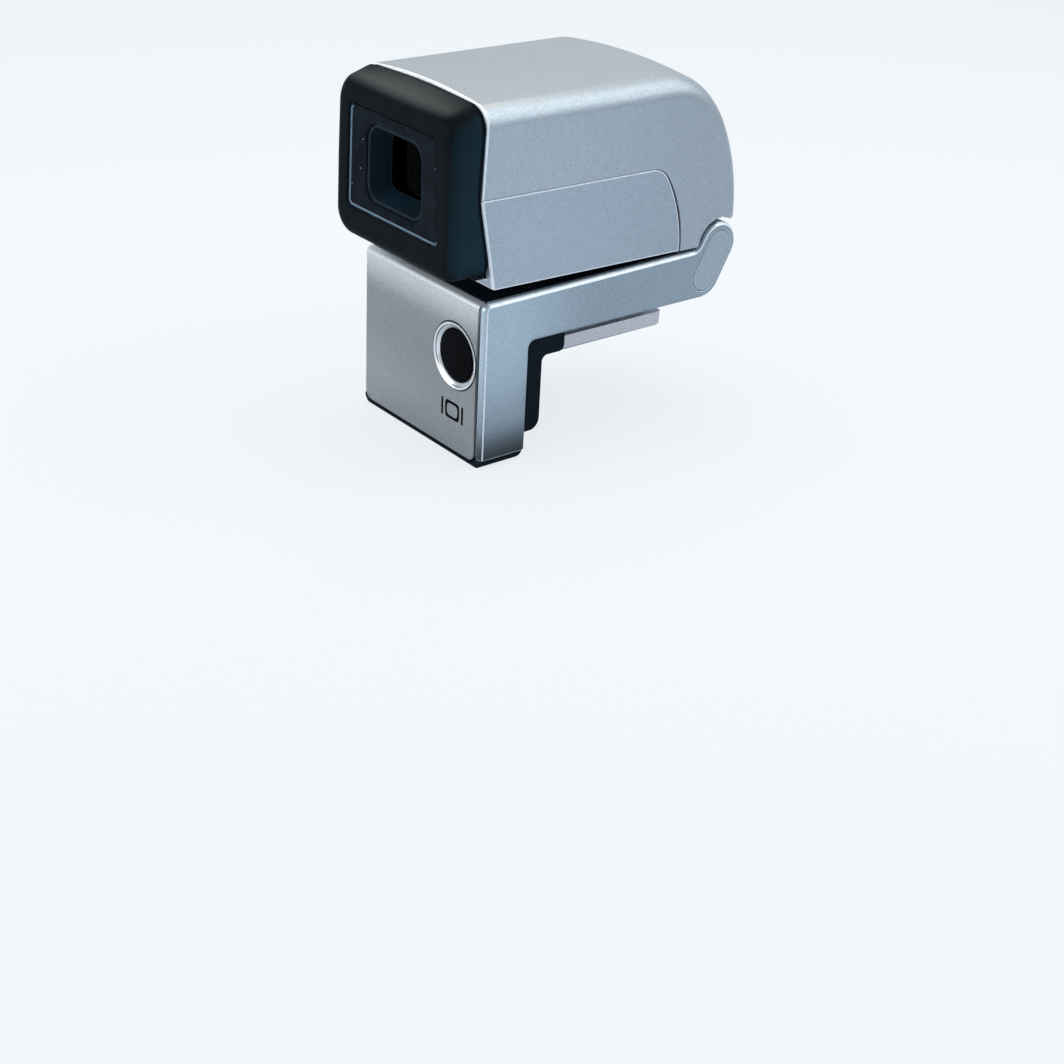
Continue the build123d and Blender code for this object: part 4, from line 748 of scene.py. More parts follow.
def tone_run() -> bpy.types.NodeTree:
    """Painted light and shade: slow change of gain along a direction, everywhere or on the outer sides only.

    Returns:
        The node group.
    """
    graph, given, made = group(
        "tone_run",
        (
            ("Place", VECTOR, None),
            ("Along", VECTOR, (0.0, 0.0, 1.0)),
            ("Start", VALUE, 0.0),
            ("End", VALUE, 1.0),
            ("First", VALUE, 0.0),
            ("Last", VALUE, 1.0),
            ("Flank", VALUE, 0.0),
        ),
        (("Gain", VALUE),),
    )
    put = given.outputs
    along = graph.node("ShaderNodeVectorMath", operation="DOT_PRODUCT", at0=put["Place"], at1=put["Along"])
    run = graph.node(
        "ShaderNodeMapRange",
        interpolation_type="SMOOTHSTEP",
        Value=along.outputs["Value"],
        at1=put["Start"],
        at2=put["End"],
        at3=put["First"],
        at4=put["Last"],
    )
    across = graph.node("ShaderNodeSeparateXYZ", Vector=put["Place"]).outputs[0]
    outside = graph.spread(graph.math("ABSOLUTE", across), *FLANK_DEPTHS)
    everywhere = graph.math("SUBTRACT", 1.0, put["Flank"])
    change = graph.math("SUBTRACT", run.outputs[0], 1.0)
    flanked = graph.math("MULTIPLY", change, graph.math("MAXIMUM", outside, everywhere))
    graph.feed(made, Gain=graph.math("ADD", flanked, 1.0))
    return graph.tree


class Shared(Enum):
    """Node groups that several finishes place."""

    FLECK = "metal_fleck"
    WEAR = "edge_wear"
    GRAIN = "moulded_grain"
    DUST = "dust_specks"
    TONE = "tone_run"

    @property
    def tree(self) -> bpy.types.NodeTree:
        """The group, made the first time that it is asked for.

        Returns:
            The node group.
        """
        makers = {
            Shared.FLECK: metal_fleck,
            Shared.WEAR: edge_wear,
            Shared.GRAIN: moulded_grain,
            Shared.DUST: dust_specks,
            Shared.TONE: tone_run,
        }
        return bpy.data.node_groups.get(self.value) or makers[self]()


@dataclass(frozen=True)
class Tone:
    """Run of painted light and shade along a direction, from one place and gain to another."""

    along: Spot
    start: float
    end: float
    first: float
    last: float
    flank: float = 0.0


FORWARD: Spot = (0.0, 1.0, 0.0)
UP: Spot = (0.0, 0.0, 1.0)
# Mask that keeps the inside and gives the outer sides to a painted side light.
INNER = Tone(UP, 0.0, 1.0, 0.0, 0.0, 1.0)


@dataclass(frozen=True)
class Finish:
    """What every finish has: a name and a colour."""

    name: str
    colour: Tint

    def start(self) -> tuple[Graph, bpy.types.NodeSocket, bpy.types.Node]:
        """Begins the material.

        Returns:
            Its graph, the place on the object in millimetres, and its shader.
        """
        look = bpy.data.materials.new(f"{self.name}_look")
        look.use_nodes = True
        look.node_tree.nodes.clear()
        graph = Graph(look.node_tree, look)
        where = graph.node("ShaderNodeTexCoord").outputs["Object"]
        scale = (1 / MM, 1 / MM, 1 / MM)
        place = graph.node("ShaderNodeMapping", Vector=where, Scale=scale).outputs[0]
        shader = graph.node("ShaderNodeBsdfPrincipled")
        graph.node("ShaderNodeOutputMaterial", Surface=shader.outputs[0])
        return graph, place, shader

    def shared(self, graph: Graph, kind: Shared, **inputs: object) -> bpy.types.NodeOutputs:
        """Places a shared group, sets its inputs and gives its outputs."""
        return graph.node("ShaderNodeGroup", node_tree=kind.tree, **inputs).outputs

    def shade(self, part: float) -> Tint:
        """The finish's colour, lighter or darker, as white at most."""
        return tuple(min(1.0, value * part) for value in self.colour)

    def run(self, graph: Graph, place: bpy.types.NodeSocket, tone: Tone) -> bpy.types.NodeSocket:
        """Gain of a run of painted light and shade at each place.

        Args:
            graph: the graph to wire.
            place: the place on the object.
            tone: the run of painted light and shade.

        Returns:
            The gain.
        """
        return self.shared(
            graph,
            Shared.TONE,
            Place=place,
            Along=tone.along,
            Start=tone.start,
            End=tone.end,
            First=tone.first,
            Last=tone.last,
            Flank=tone.flank,
        )["Gain"]

    def bump(self, graph: Graph, shader: bpy.types.Node, height: object, depth: float) -> None:
        """Feeds a height to the shader's normal; depth is in millimetres."""
        node = graph.node("ShaderNodeBump", Height=height, Distance=depth * MM, Strength=1.0)
        graph.feed(shader, Normal=node.outputs[0])

    def material(self) -> bpy.types.Material:
        """Wires the material.

        Returns:
            The finished material.
        """
        raise NotImplementedError


@dataclass(frozen=True)
class MetallicPaint(Finish):
    """Satin paint with metal flake in it, under a thin clear coat."""

    flake: float = 0.11
    contrast: float = 0.3
    metallic: float = 0.55
    roughness: float = 0.4
    scatter: float = 0.06
    depth: float = 0.0012
    coat: float = 0.12
    coat_roughness: float = 0.3
    # Edges lighten towards a brighter tint: rubbing plus a painted highlight.
    wear_light_share: float = 0.5
    wear_light_gain: float = 1.25
    wear_light_lift: float = 0.06
    # Painted highlight: faces marked for painted edge light take a near-white, barely metallic tint.
    rim: Tint = (0.9, 0.94, 0.98)
    painted_edge_share: float = 0.95
    painted_edge_metallic: float = 0.2
    # Painted light and shade: gains by place that stand in for how light falls on the piece.
    tones: tuple[Tone, ...] = ()

    def material(self) -> bpy.types.Material:
        """Wires the material.

        Returns:
            The finished material.
        """
        graph, place, shader = self.start()
        fleck = self.shared(
            graph, Shared.FLECK, Place=place, Base=self.colour, Flake=self.flake, Contrast=self.contrast
        )
        wear_and_light = self.shared(graph, Shared.WEAR, Place=place)
        # Lighter edges: rubbing plus a painted highlight.
        bright = tuple(min(1.0, part * self.wear_light_gain + self.wear_light_lift) for part in self.colour)
        toned = fleck["Colour"]
        # Painted light and shade along the piece.
        for tone in self.tones:
            toned = graph.scaled(toned, self.run(graph, place, tone))
        worn_and_lit = graph.mix(graph.math("MULTIPLY", wear_and_light["Mask"], self.wear_light_share), toned, bright)
        dull, smooth = self.roughness + self.scatter, self.roughness - self.scatter
        # Marked faces take the painted highlight.
        graph.feed(
            shader,
            Base_Color=graph.mix(graph.math("MULTIPLY", wear_and_light["Rim"], self.painted_edge_share), worn_and_lit, self.rim),
            Roughness=graph.spread(fleck["Mask"], 0.0, 1.0, dull, smooth),
            Metallic=graph.spread(wear_and_light["Rim"], 0.0, 1.0, self.metallic, self.painted_edge_metallic),
            Coat_Weight=self.coat,
            Coat_Roughness=self.coat_roughness,
        )
        self.bump(graph, shader, fleck["Height"], self.depth)
        return graph.look


@dataclass(frozen=True)
class Moulded(Finish):
    """Plastic or rubber with the fine grain of its mould."""

    grain: float = 0.16
    depth: float = 0.006
    roughness: float = 0.5
    scatter: float = 0.06
    cloud_gain: float = 1.35
    # Edges lighten towards this tint: rubbing plus a painted highlight.
    rubbed_and_lit: Tint = (0.1, 0.11, 0.125)
    rubbed_and_lit_share: float = 0.35
    gloss: float = 0.25
    refraction: float = 1.5
    # Painted edge light: marked faces take this tint; on the rubber it is black, painted shade on the
    # eyecup's neck.
    rim: Tint = (0.3, 0.36, 0.42)
    painted_edge_share: float = 0.8
    # Painted light: a painted sheen that lightens the top towards the next tint along a run, and a painted
    # side light tint for the outer sides.
    sheen_tint: Tint = (0.062, 0.07, 0.072)
    top_sheen: Tone | None = None
    flank: Tint | None = None

    def material(self) -> bpy.types.Material:
        """Wires the material.

        Returns:
            The finished material.
        """
        graph, place, shader = self.start()
        grain = self.shared(graph, Shared.GRAIN, Place=place, Grain=self.grain)
        wear_and_light = self.shared(graph, Shared.WEAR, Place=place)
        toned = graph.mix(graph.spread(grain["Tone"], 0.35, 0.65), self.colour, self.shade(self.cloud_gain))
        # Painted side light on the outer sides.
        if self.flank is not None:
            toned = graph.mix(self.run(graph, place, INNER), self.flank, toned)
        # Painted sheen on the top.
        if self.top_sheen is not None:
            toned = graph.mix(self.run(graph, place, self.top_sheen), toned, self.sheen_tint)
        # Lighter edges: rubbing plus a painted highlight.
        worn_and_lit = graph.mix(graph.math("MULTIPLY", wear_and_light["Mask"], self.rubbed_and_lit_share), toned, self.rubbed_and_lit)
        smooth, dull = self.roughness - self.scatter, self.roughness + self.scatter
        # Marked faces take the painted edge tint.
        graph.feed(
            shader,
            Base_Color=graph.mix(graph.math("MULTIPLY", wear_and_light["Rim"], self.painted_edge_share), worn_and_lit, self.rim),
            Roughness=graph.spread(grain["Tone"], 0.3, 0.7, smooth, dull),
            Specular_IOR_Level=self.gloss,
            IOR=self.refraction,
        )
        self.bump(graph, shader, grain["Height"], self.depth)
        return graph.look


@dataclass(frozen=True)
class Polished(Finish):
    """Black gloss with dust on it and faint waves in the gloss."""

    roughness: float = 0.07
    scatter: float = 0.1
    depth: float = 0.004
    cloud_gain: float = 2.2
    dust: Tint = (0.42, 0.48, 0.55)
    share: float = 0.3
    gloss: float = 0.2
    refraction: float = 1.3
    # Painted highlight: marked faces of the bead take this lighter tint.
    rim: Tint = (0.2, 0.3, 0.4)
    painted_edge_share: float = 0.85
    painted_edge_width: float = 0.08

    def material(self) -> bpy.types.Material:
        """Wires the material.

        Returns:
            The finished material.
        """
        graph, place, shader = self.start()
        specks = self.shared(graph, Shared.DUST, Place=place, Share=self.share)["Mask"]
        haze = graph.noise(place, 0.5, 5.0)
        dark = graph.mix(graph.spread(haze, 0.4, 0.75), self.colour, self.shade(self.cloud_gain))
        # Faces marked for a painted highlight.
        rim = self.shared(graph, Shared.WEAR, Place=place, Width=self.painted_edge_width)["Rim"]
        dusty = graph.mix(specks, dark, self.dust)
        rough = graph.spread(haze, 0.35, 0.75, self.roughness, self.roughness + self.scatter)
        graph.feed(
            shader,
            Base_Color=graph.mix(graph.math("MULTIPLY", rim, self.painted_edge_share), dusty, self.rim),
            Roughness=graph.math("MAXIMUM", rough, specks),
            Specular_IOR_Level=self.gloss,
            IOR=self.refraction,
        )
        self.bump(graph, shader, haze, self.depth)
        return graph.look


@dataclass(frozen=True)
class Metal(Finish):
    """Bare metal, brushed along a direction or turned round a point."""

    roughness: float = 0.25
    scatter: Flat = (0.06, 0.08)
    depth: float = 0.0012
    dark_gain: float = 0.82
    # Edges lighten by this gain: rubbing plus a painted highlight.
    wear_light_gain: float = 1.2
    stretch: Spot = (1.0, 1.0, 1.0)
    turned_about: Flat | None = None
    turn_stretch: float = 0.2

    def material(self) -> bpy.types.Material:
        """Wires the material.

        Returns:
            The finished material.
        """
        graph, place, shader = self.start()
        if self.turned_about is None:
            along = graph.node("ShaderNodeMapping", Vector=place, Scale=self.stretch).outputs[0]
            marks = graph.noise(along, 3.0, 6.0)
        else:
            parts = graph.node("ShaderNodeSeparateXYZ", Vector=place).outputs
            across = graph.math("SUBTRACT", parts[0], self.turned_about[0])
            rise = graph.math("SUBTRACT", parts[2], self.turned_about[1])
            squares = graph.math("ADD", graph.math("POWER", across, 2.0), graph.math("POWER", rise, 2.0))
            depth = graph.math("MULTIPLY", parts[1], self.turn_stretch)
            line = graph.node("ShaderNodeCombineXYZ", X=graph.math("SQRT", squares), Y=depth)
            marks = graph.noise(line.outputs[0], 14.0, 5.0)
        # Lighter edges: rubbing plus a painted highlight.
        wear_and_light = self.shared(graph, Shared.WEAR, Place=place)["Mask"]
        toned = graph.mix(graph.spread(marks, 0.35, 0.65), self.shade(self.dark_gain), self.colour)
        smooth, dull = self.roughness - self.scatter[0], self.roughness + self.scatter[1]
        graph.feed(
            shader,
            Base_Color=graph.mix(wear_and_light, toned, self.shade(self.wear_light_gain)),
            Roughness=graph.spread(marks, 0.3, 0.7, smooth, dull),
            Metallic=1.0,
        )
        self.bump(graph, shader, marks, self.depth)
        return graph.look


@dataclass(frozen=True)
class Glass(Finish):
    """Clear coated glass with a trace of dust."""

    roughness: float = 0.02
    scatter: float = 0.05
    dust: Tint = (0.8, 0.85, 0.9)
    spacing: float = 1.6
    share: float = 0.2
    gloss: float = 0.06
    refraction: float = 1.05

    def material(self) -> bpy.types.Material:
        """Wires the material.

        Returns:
            The finished material.
        """
        graph, place, shader = self.start()
        dust = self.shared(graph, Shared.DUST, Place=place, Spacing=self.spacing, Share=self.share)
        haze = graph.noise(place, 0.4, 4.0)
        rough = graph.spread(haze, 0.4, 0.8, self.roughness, self.roughness + self.scatter)
        graph.feed(
            shader,
            Base_Color=graph.mix(dust["Mask"], self.colour, self.dust),
            Roughness=graph.math("MAXIMUM", rough, dust["Mask"]),
            Transmission_Weight=1.0,
            IOR=self.refraction,
            Specular_IOR_Level=self.gloss,
        )
        return graph.look


@dataclass(frozen=True)
class Board(Finish):
    """Circuit board: solder mask over copper tracks and vias."""

    track: Tint = (0.06, 0.26, 0.12)
    via: Tint = (0.72, 0.6, 0.3)
    via_reach: float = 0.1
    roughness: float = 0.35
    depth: float = 0.01

    def material(self) -> bpy.types.Material:
        """Wires the material.

        Returns:
            The finished material.
        """
        graph, place, shader = self.start()
        upright = graph.node("ShaderNodeMapping", Vector=place, Rotation=(math.pi / 2, 0.0, 0.0))
        bricks = graph.node(
            "ShaderNodeTexBrick",
            Vector=upright.outputs[0],
            Scale=0.9,
            Mortar_Size=0.05,
            Color1=self.colour,
            Color2=self.shade(0.8),
            Mortar=self.track,
        )
        cells = graph.node("ShaderNodeTexVoronoi", Vector=place, Scale=0.5)
        hole = graph.math("LESS_THAN", cells.outputs["Distance"], self.via_reach)
        tone = graph.mix(hole, bricks.outputs[0], self.via)
        graph.feed(shader, Base_Color=tone, Roughness=self.roughness)
        self.bump(graph, shader, bricks.outputs["Fac"], self.depth)
        return graph.look


@dataclass(frozen=True)
class Film(Finish):
    """Thin sheet or frosted sheet with faint lines along it."""

    roughness: float = 0.4
    scatter: Flat = (0.05, 0.1)
    depth: float = 0.002
    line: Tint = (0.5, 0.5, 0.5)
    closeness: float = 0.75

    def material(self) -> bpy.types.Material:
        """Wires the material.

        Returns:
            The finished material.
        """
        graph, place, shader = self.start()
        waves = graph.node("ShaderNodeTexWave", Vector=place, Scale=self.closeness, Distortion=0.0)
        share = graph.spread(waves.outputs["Fac"], 0.75, 0.95)
        noise = graph.noise(place, 2.0, 4.0)
        smooth, dull = self.roughness - self.scatter[0], self.roughness + self.scatter[1]
        graph.feed(
            shader,
            Base_Color=graph.mix(share, self.colour, self.line),
            Roughness=graph.spread(noise, 0.3, 0.7, smooth, dull),
        )
        self.bump(graph, shader, noise, self.depth)
        return graph.look


BUTTON_MIDDLE: Flat = (6.72, 1.75)
HINGE: Flat = (15.0, 11.05)

# Painted light and shade: the head's outer sides lighter at the rear and darker at the front; the leg darker
# towards its foot; the arm lighter at the rear; the plate a little lighter low down and much lighter at the
# top, where it cancels the eyecup's shadow.
FLANKS = Tone(FORWARD, -20.0, 16.0, 1.05, 0.89, 1.0)
LEG_FOOT = Tone(UP, -10.4, -5.0, 0.15, 0.95)
LEG_FALL = Tone(UP, -9.0, 3.0, 0.6, 1.0)
ARM_FALL = Tone(FORWARD, -20.0, -5.0, 1.4, 0.96)
PLATE_LOW = Tone(UP, -7.0, 1.0, 1.08, 0.86)
PLATE_TOP = Tone(UP, 4.5, 9.5, 0.95, 2.1)

FINISHES: tuple[Finish, ...] = (
    MetallicPaint(
        "silver_paint", (0.305, 0.378, 0.435), tones=(LEG_FOOT, LEG_FALL, ARM_FALL)
    ),
    MetallicPaint("housing_paint", (0.36, 0.425, 0.485), tones=(FLANKS,)),
    MetallicPaint("grey_paint", (0.39, 0.445, 0.49), tones=(FLANKS,)),
    MetallicPaint(
        "plate_paint", (0.28, 0.298, 0.312), roughness=0.42, tones=(PLATE_LOW, PLATE_TOP)
    ),
    MetallicPaint("cap_plastic", (0.34, 0.405, 0.45)),
    Moulded(
        "black_plastic", (0.004, 0.008, 0.013), rubbed_and_lit=(0.03, 0.04, 0.05), gloss=0.1, refraction=1.3
    ),
    Polished("gloss_black", (0.0015, 0.0015, 0.002), gloss=0.04),
    Polished("panel_gloss", (0.0035, 0.0055, 0.0085), gloss=0.05, share=0.8),
    Moulded("throat_coat", (0.006, 0.014, 0.022), roughness=0.4, gloss=0.05, refraction=1.3),
    Moulded(
        "rubber",
        (0.0045, 0.0065, 0.0085),
        grain=0.12,
        depth=0.003,
        roughness=0.4,
        rubbed_and_lit=(0.025, 0.035, 0.042),
        gloss=0.06,
        # Black painted shade on the marked neck, in the gap to the head.
        rim=(0.0, 0.0, 0.0),
        # Painted sheen on the top and a teal painted side light on the outer sides.
        top_sheen=Tone((0.0, -0.35, 1.0), 42.3, 43.3, 0.0, 1.0),
        flank=(0.012, 0.029, 0.042),
        refraction=1.2,
    ),
    Moulded("gasket_rubber", (0.01, 0.01, 0.011), roughness=0.7),
    Metal(
        "bright_aluminium", (0.88, 0.9, 0.92), roughness=0.22, turned_about=BUTTON_MIDDLE
    ),
    Metal("steel", (0.56, 0.57, 0.59), roughness=0.3, stretch=(0.2, 1.0, 4.0)),
    Metal("screw_steel", (0.09, 0.095, 0.1), roughness=0.3),
    Metal("bush_brass", (0.78, 0.6, 0.3), roughness=0.25),
    Metal("contact_gold", (0.9, 0.68, 0.3), roughness=0.2),
    Moulded("connector_plastic", (0.014, 0.014, 0.016), roughness=0.45),
    # Tinted almost black: painted shade that keeps the lit inside from showing through the window.
    Glass("lens_glass", (0.02, 0.023, 0.027)),
    Polished("display_glass", (0.008, 0.008, 0.012), share=0.1),
    Film("diffuser_film", (0.86, 0.87, 0.87), line=(0.74, 0.75, 0.76)),
    Film("lamp", (0.85, 0.8, 0.5), line=(0.9, 0.72, 0.2), roughness=0.2),
    Board("circuit_board", (0.015, 0.12, 0.05)),
    Moulded("chip", (0.018, 0.018, 0.019), roughness=0.5),
    Film("ribbon", (0.42, 0.2, 0.04), line=(0.62, 0.36, 0.1), roughness=0.3),
)


class Looks:
    """The materials, each made the first time that a piece wants it."""

    def __init__(self) -> None:
        """Starts with none made."""
        self.finishes = {finish.name: finish for finish in FINISHES}
        self.made: dict[str, bpy.types.Material] = {}

    def of(self, slot: str) -> bpy.types.Material:
        """The material of a slot of the record.

        Args:
            slot: name of a finish.

        Returns:
            The material, the same one each time.
        """
        if slot not in self.made:
            self.made[slot] = self.finishes[slot].material()
        return self.made[slot]

    def dress_nodes(self) -> None:
        """Gives every node of the frame the finish of its slot."""
        for row in frame["record"]["subparts"]:
            node = frame["nodes"][row["node"]]
            node.data.materials.clear()
            node.data.materials.append(self.of(row["material_slot"]))


# Pieces


@dataclass(frozen=True)
class HeadForm:
    """Side view of the tilting head, the seam in it and its hollow."""

    half: float = 12.6
    wall: float = 1.2
    top_rear: Flat = (-23.4, 34.65)
    seam_rear: Flat = (-24.0, 23.3)
    low_rear: Flat = (-21.8, 11.95)
    brow: Flat = (5.4, 34.5)
    bend: Flat = (11.15, 32.55)
    face: Flat = (15.6, 27.4)
    lip: Flat = (17.98, 14.42)
    lip_tip: Flat = (17.3, 13.97)
    lip_heel: Flat = (15.2, 14.9)
    hinge: Flat = HINGE
    floor_slope: float = -0.019022
    crown: float = 0.9
    front_limit: float = 18.06
    side_round: float = 2.3
    lip_side_round: float = 0.8
    round_start_height: float = 30.0
    seam_corner: Flat = (2.434, 22.938)
    seam_turn: Flat = (5.199, 21.348)
    seam_foot: float = 8.064
    seam_rise: float = 0.05
    seam_reach: float = 0.15
    bend_drop: Flat = (0.45, 0.7)
    bend_inset: Flat = (0.7, 0.75)
    face_drop: Flat = (0.8, 0.3)
    face_inset: Flat = (0.95, 0.35)
    lip_drop: float = 0.5
    flat_steps: int = 8
    round_steps: int = 10

    def floor(self, y: float) -> float:
        """Height of the underside at y."""
        return self.low_rear[1] + self.floor_slope * (y - self.low_rear[0])

    def rear(self, z: float) -> float:
        """Place of the rear face at z: it leans out to the seam and in again above it.

        Args:
            z: height.

        Returns:
            The place along Y.
        """
        low, high = self.seam_rear, self.top_rear
        if z < self.seam_rear[1]:
            low, high = self.low_rear, self.seam_rear
        return low[0] + (z - low[1]) / (high[1] - low[1]) * (high[0] - low[0])

    def skyline(self, drop: float, inset: float = 0.0) -> Trace:
        """Top and front curve from the rear edge down to the lip.

        Args:
            drop: how far the crown has fallen off at this distance from the middle.
            inset: how far the curve lies inside the outer one.

        Returns:
            The curve, to draw on.
        """

        def moved(spot: Flat, for_drop: Flat, for_inset: Flat) -> Flat:
            """Point of the middle curve, moved by its shares of the drop and the inset."""
            rows = zip(spot, for_drop, for_inset)
            return tuple(part - share * drop - other * inset for part, share, other in rows)

        trace = Trace((self.top_rear[0], self.top_rear[1] - drop - inset))
        trace.line((self.brow[0], self.brow[1] - drop - inset))
        trace.arc(moved(self.bend, self.bend_drop, self.bend_inset))
        trace.arc(moved(self.face, self.face_drop, self.face_inset))
        return trace.arc((self.lip[0] - self.lip_drop * drop - inset, self.lip[1]))

    def seam(self, rise: float, reach: float) -> list[Flat]:
        """Seam from the rear face to the underside.

        Args:
            rise: how far it is moved up, for the gap to the upper cover.
            reach: how far it is moved forward.

        Returns:
            The seam's points.
        """
        rear_height = self.seam_rear[1] + rise
        trace = Trace((self.rear(rear_height), rear_height))
        trace.line((self.seam_corner[0], self.seam_corner[1] + rise))
        trace.arc((self.seam_turn[0] + reach, self.seam_turn[1] + rise))
        foot = self.seam_foot + reach
        return trace.arc((foot, self.floor(foot)), 16).points

    def stations(self) -> list[float]:
        """Places across the head, close together where the sides round over.

        Returns:
            The places along X.
        """
        flat = self.half - self.side_round
        across = [flat * step / self.flat_steps for step in range(self.flat_steps + 1)]
        across += [flat + self.side_round * math.sin(lean) for lean in quarter(self.round_steps)[1:]]
        return [-x for x in reversed(across[1:])] + across

    def section(self, x: float) -> list[Flat]:
        """Skyline at a place across the head, rounded into the sides, less so down the front.

        Args:
            x: the place.

        Returns:
            The skyline's points, from the rear edge to the lip.
        """
        drop = self.crown * (x / self.half) ** 2
        outer = self.skyline(drop).points
        inner = self.skyline(drop, self.side_round).points
        line = []
        for (outer_y, outer_z), (inner_y, inner_z) in zip(outer, inner):
            share = (outer_z - self.lip[1]) / (self.round_start_height - self.lip[1])
            radius = self.lip_side_round + (self.side_round - self.lip_side_round) * max(0.0, min(1.0, share))
            reach = min(radius, max(0.0, abs(x) - (self.half - radius)))
            inset = (radius - math.sqrt(radius**2 - reach**2)) / self.side_round
            forward = min(self.front_limit, outer_y + (inner_y - outer_y) * inset)
            line.append((forward, outer_z + (inner_z - outer_z) * inset))
        line[0] = (self.rear(line[0][1]), line[0][1])
        return line

    def hollow(self) -> Piece:
        """Cutter of the hollow inside the walls, open at the rear.

        Returns:
            The cutter.
        """
        outline = self.skyline(self.crown, self.wall).points
        low = self.floor(self.low_rear[0]) + self.wall
        outline[0] = (self.seam_rear[0] - FAR_OVERRUN, outline[0][1])
        outline[-1] = (outline[-1][0], outline[-1][1] + self.wall)
        outline += [
            (self.hinge[0] - self.wall, outline[-1][1]),
            (self.hinge[0] - self.wall, self.floor(self.hinge[0]) + self.wall),
            (self.seam_rear[0] - FAR_OVERRUN, low),
        ]
        return Piece.prism("hollow", outline, Axis.X, self.wall - self.half, self.half - self.wall)


def disc(middle: Flat, radius: float, steps: int = 64) -> list[Flat]:
    """Circle as an outline."""
    return arc_spots(middle, radius, [2 * math.pi * step / steps for step in range(steps)])


def slot_outline(first: Flat, second: Flat, radius: float, steps: int = 24) -> list[Flat]:
    """Two half circles joined by straight sides.

    Args:
        first: middle of one half circle.
        second: middle of the other.
        radius: radius of both.
        steps: straight bits in each.

    Returns:
        The outline's points.
    """
    lean = math.atan2(second[1] - first[1], second[0] - first[0])
    outline = []
    for middle, start in ((second, lean - math.pi / 2), (first, lean + math.pi / 2)):
        turns = [start + math.pi * step / steps for step in range(steps + 1)]
        outline += arc_spots(middle, radius, turns)
    return outline


def drum(middle: Flat, radius: float, axis: Axis, low: float, high: float, steps: int = 64) -> Piece:
    """Round cutter or boss along an axis."""
    return Piece.prism("drum", disc(middle, radius, steps), axis, low, high)


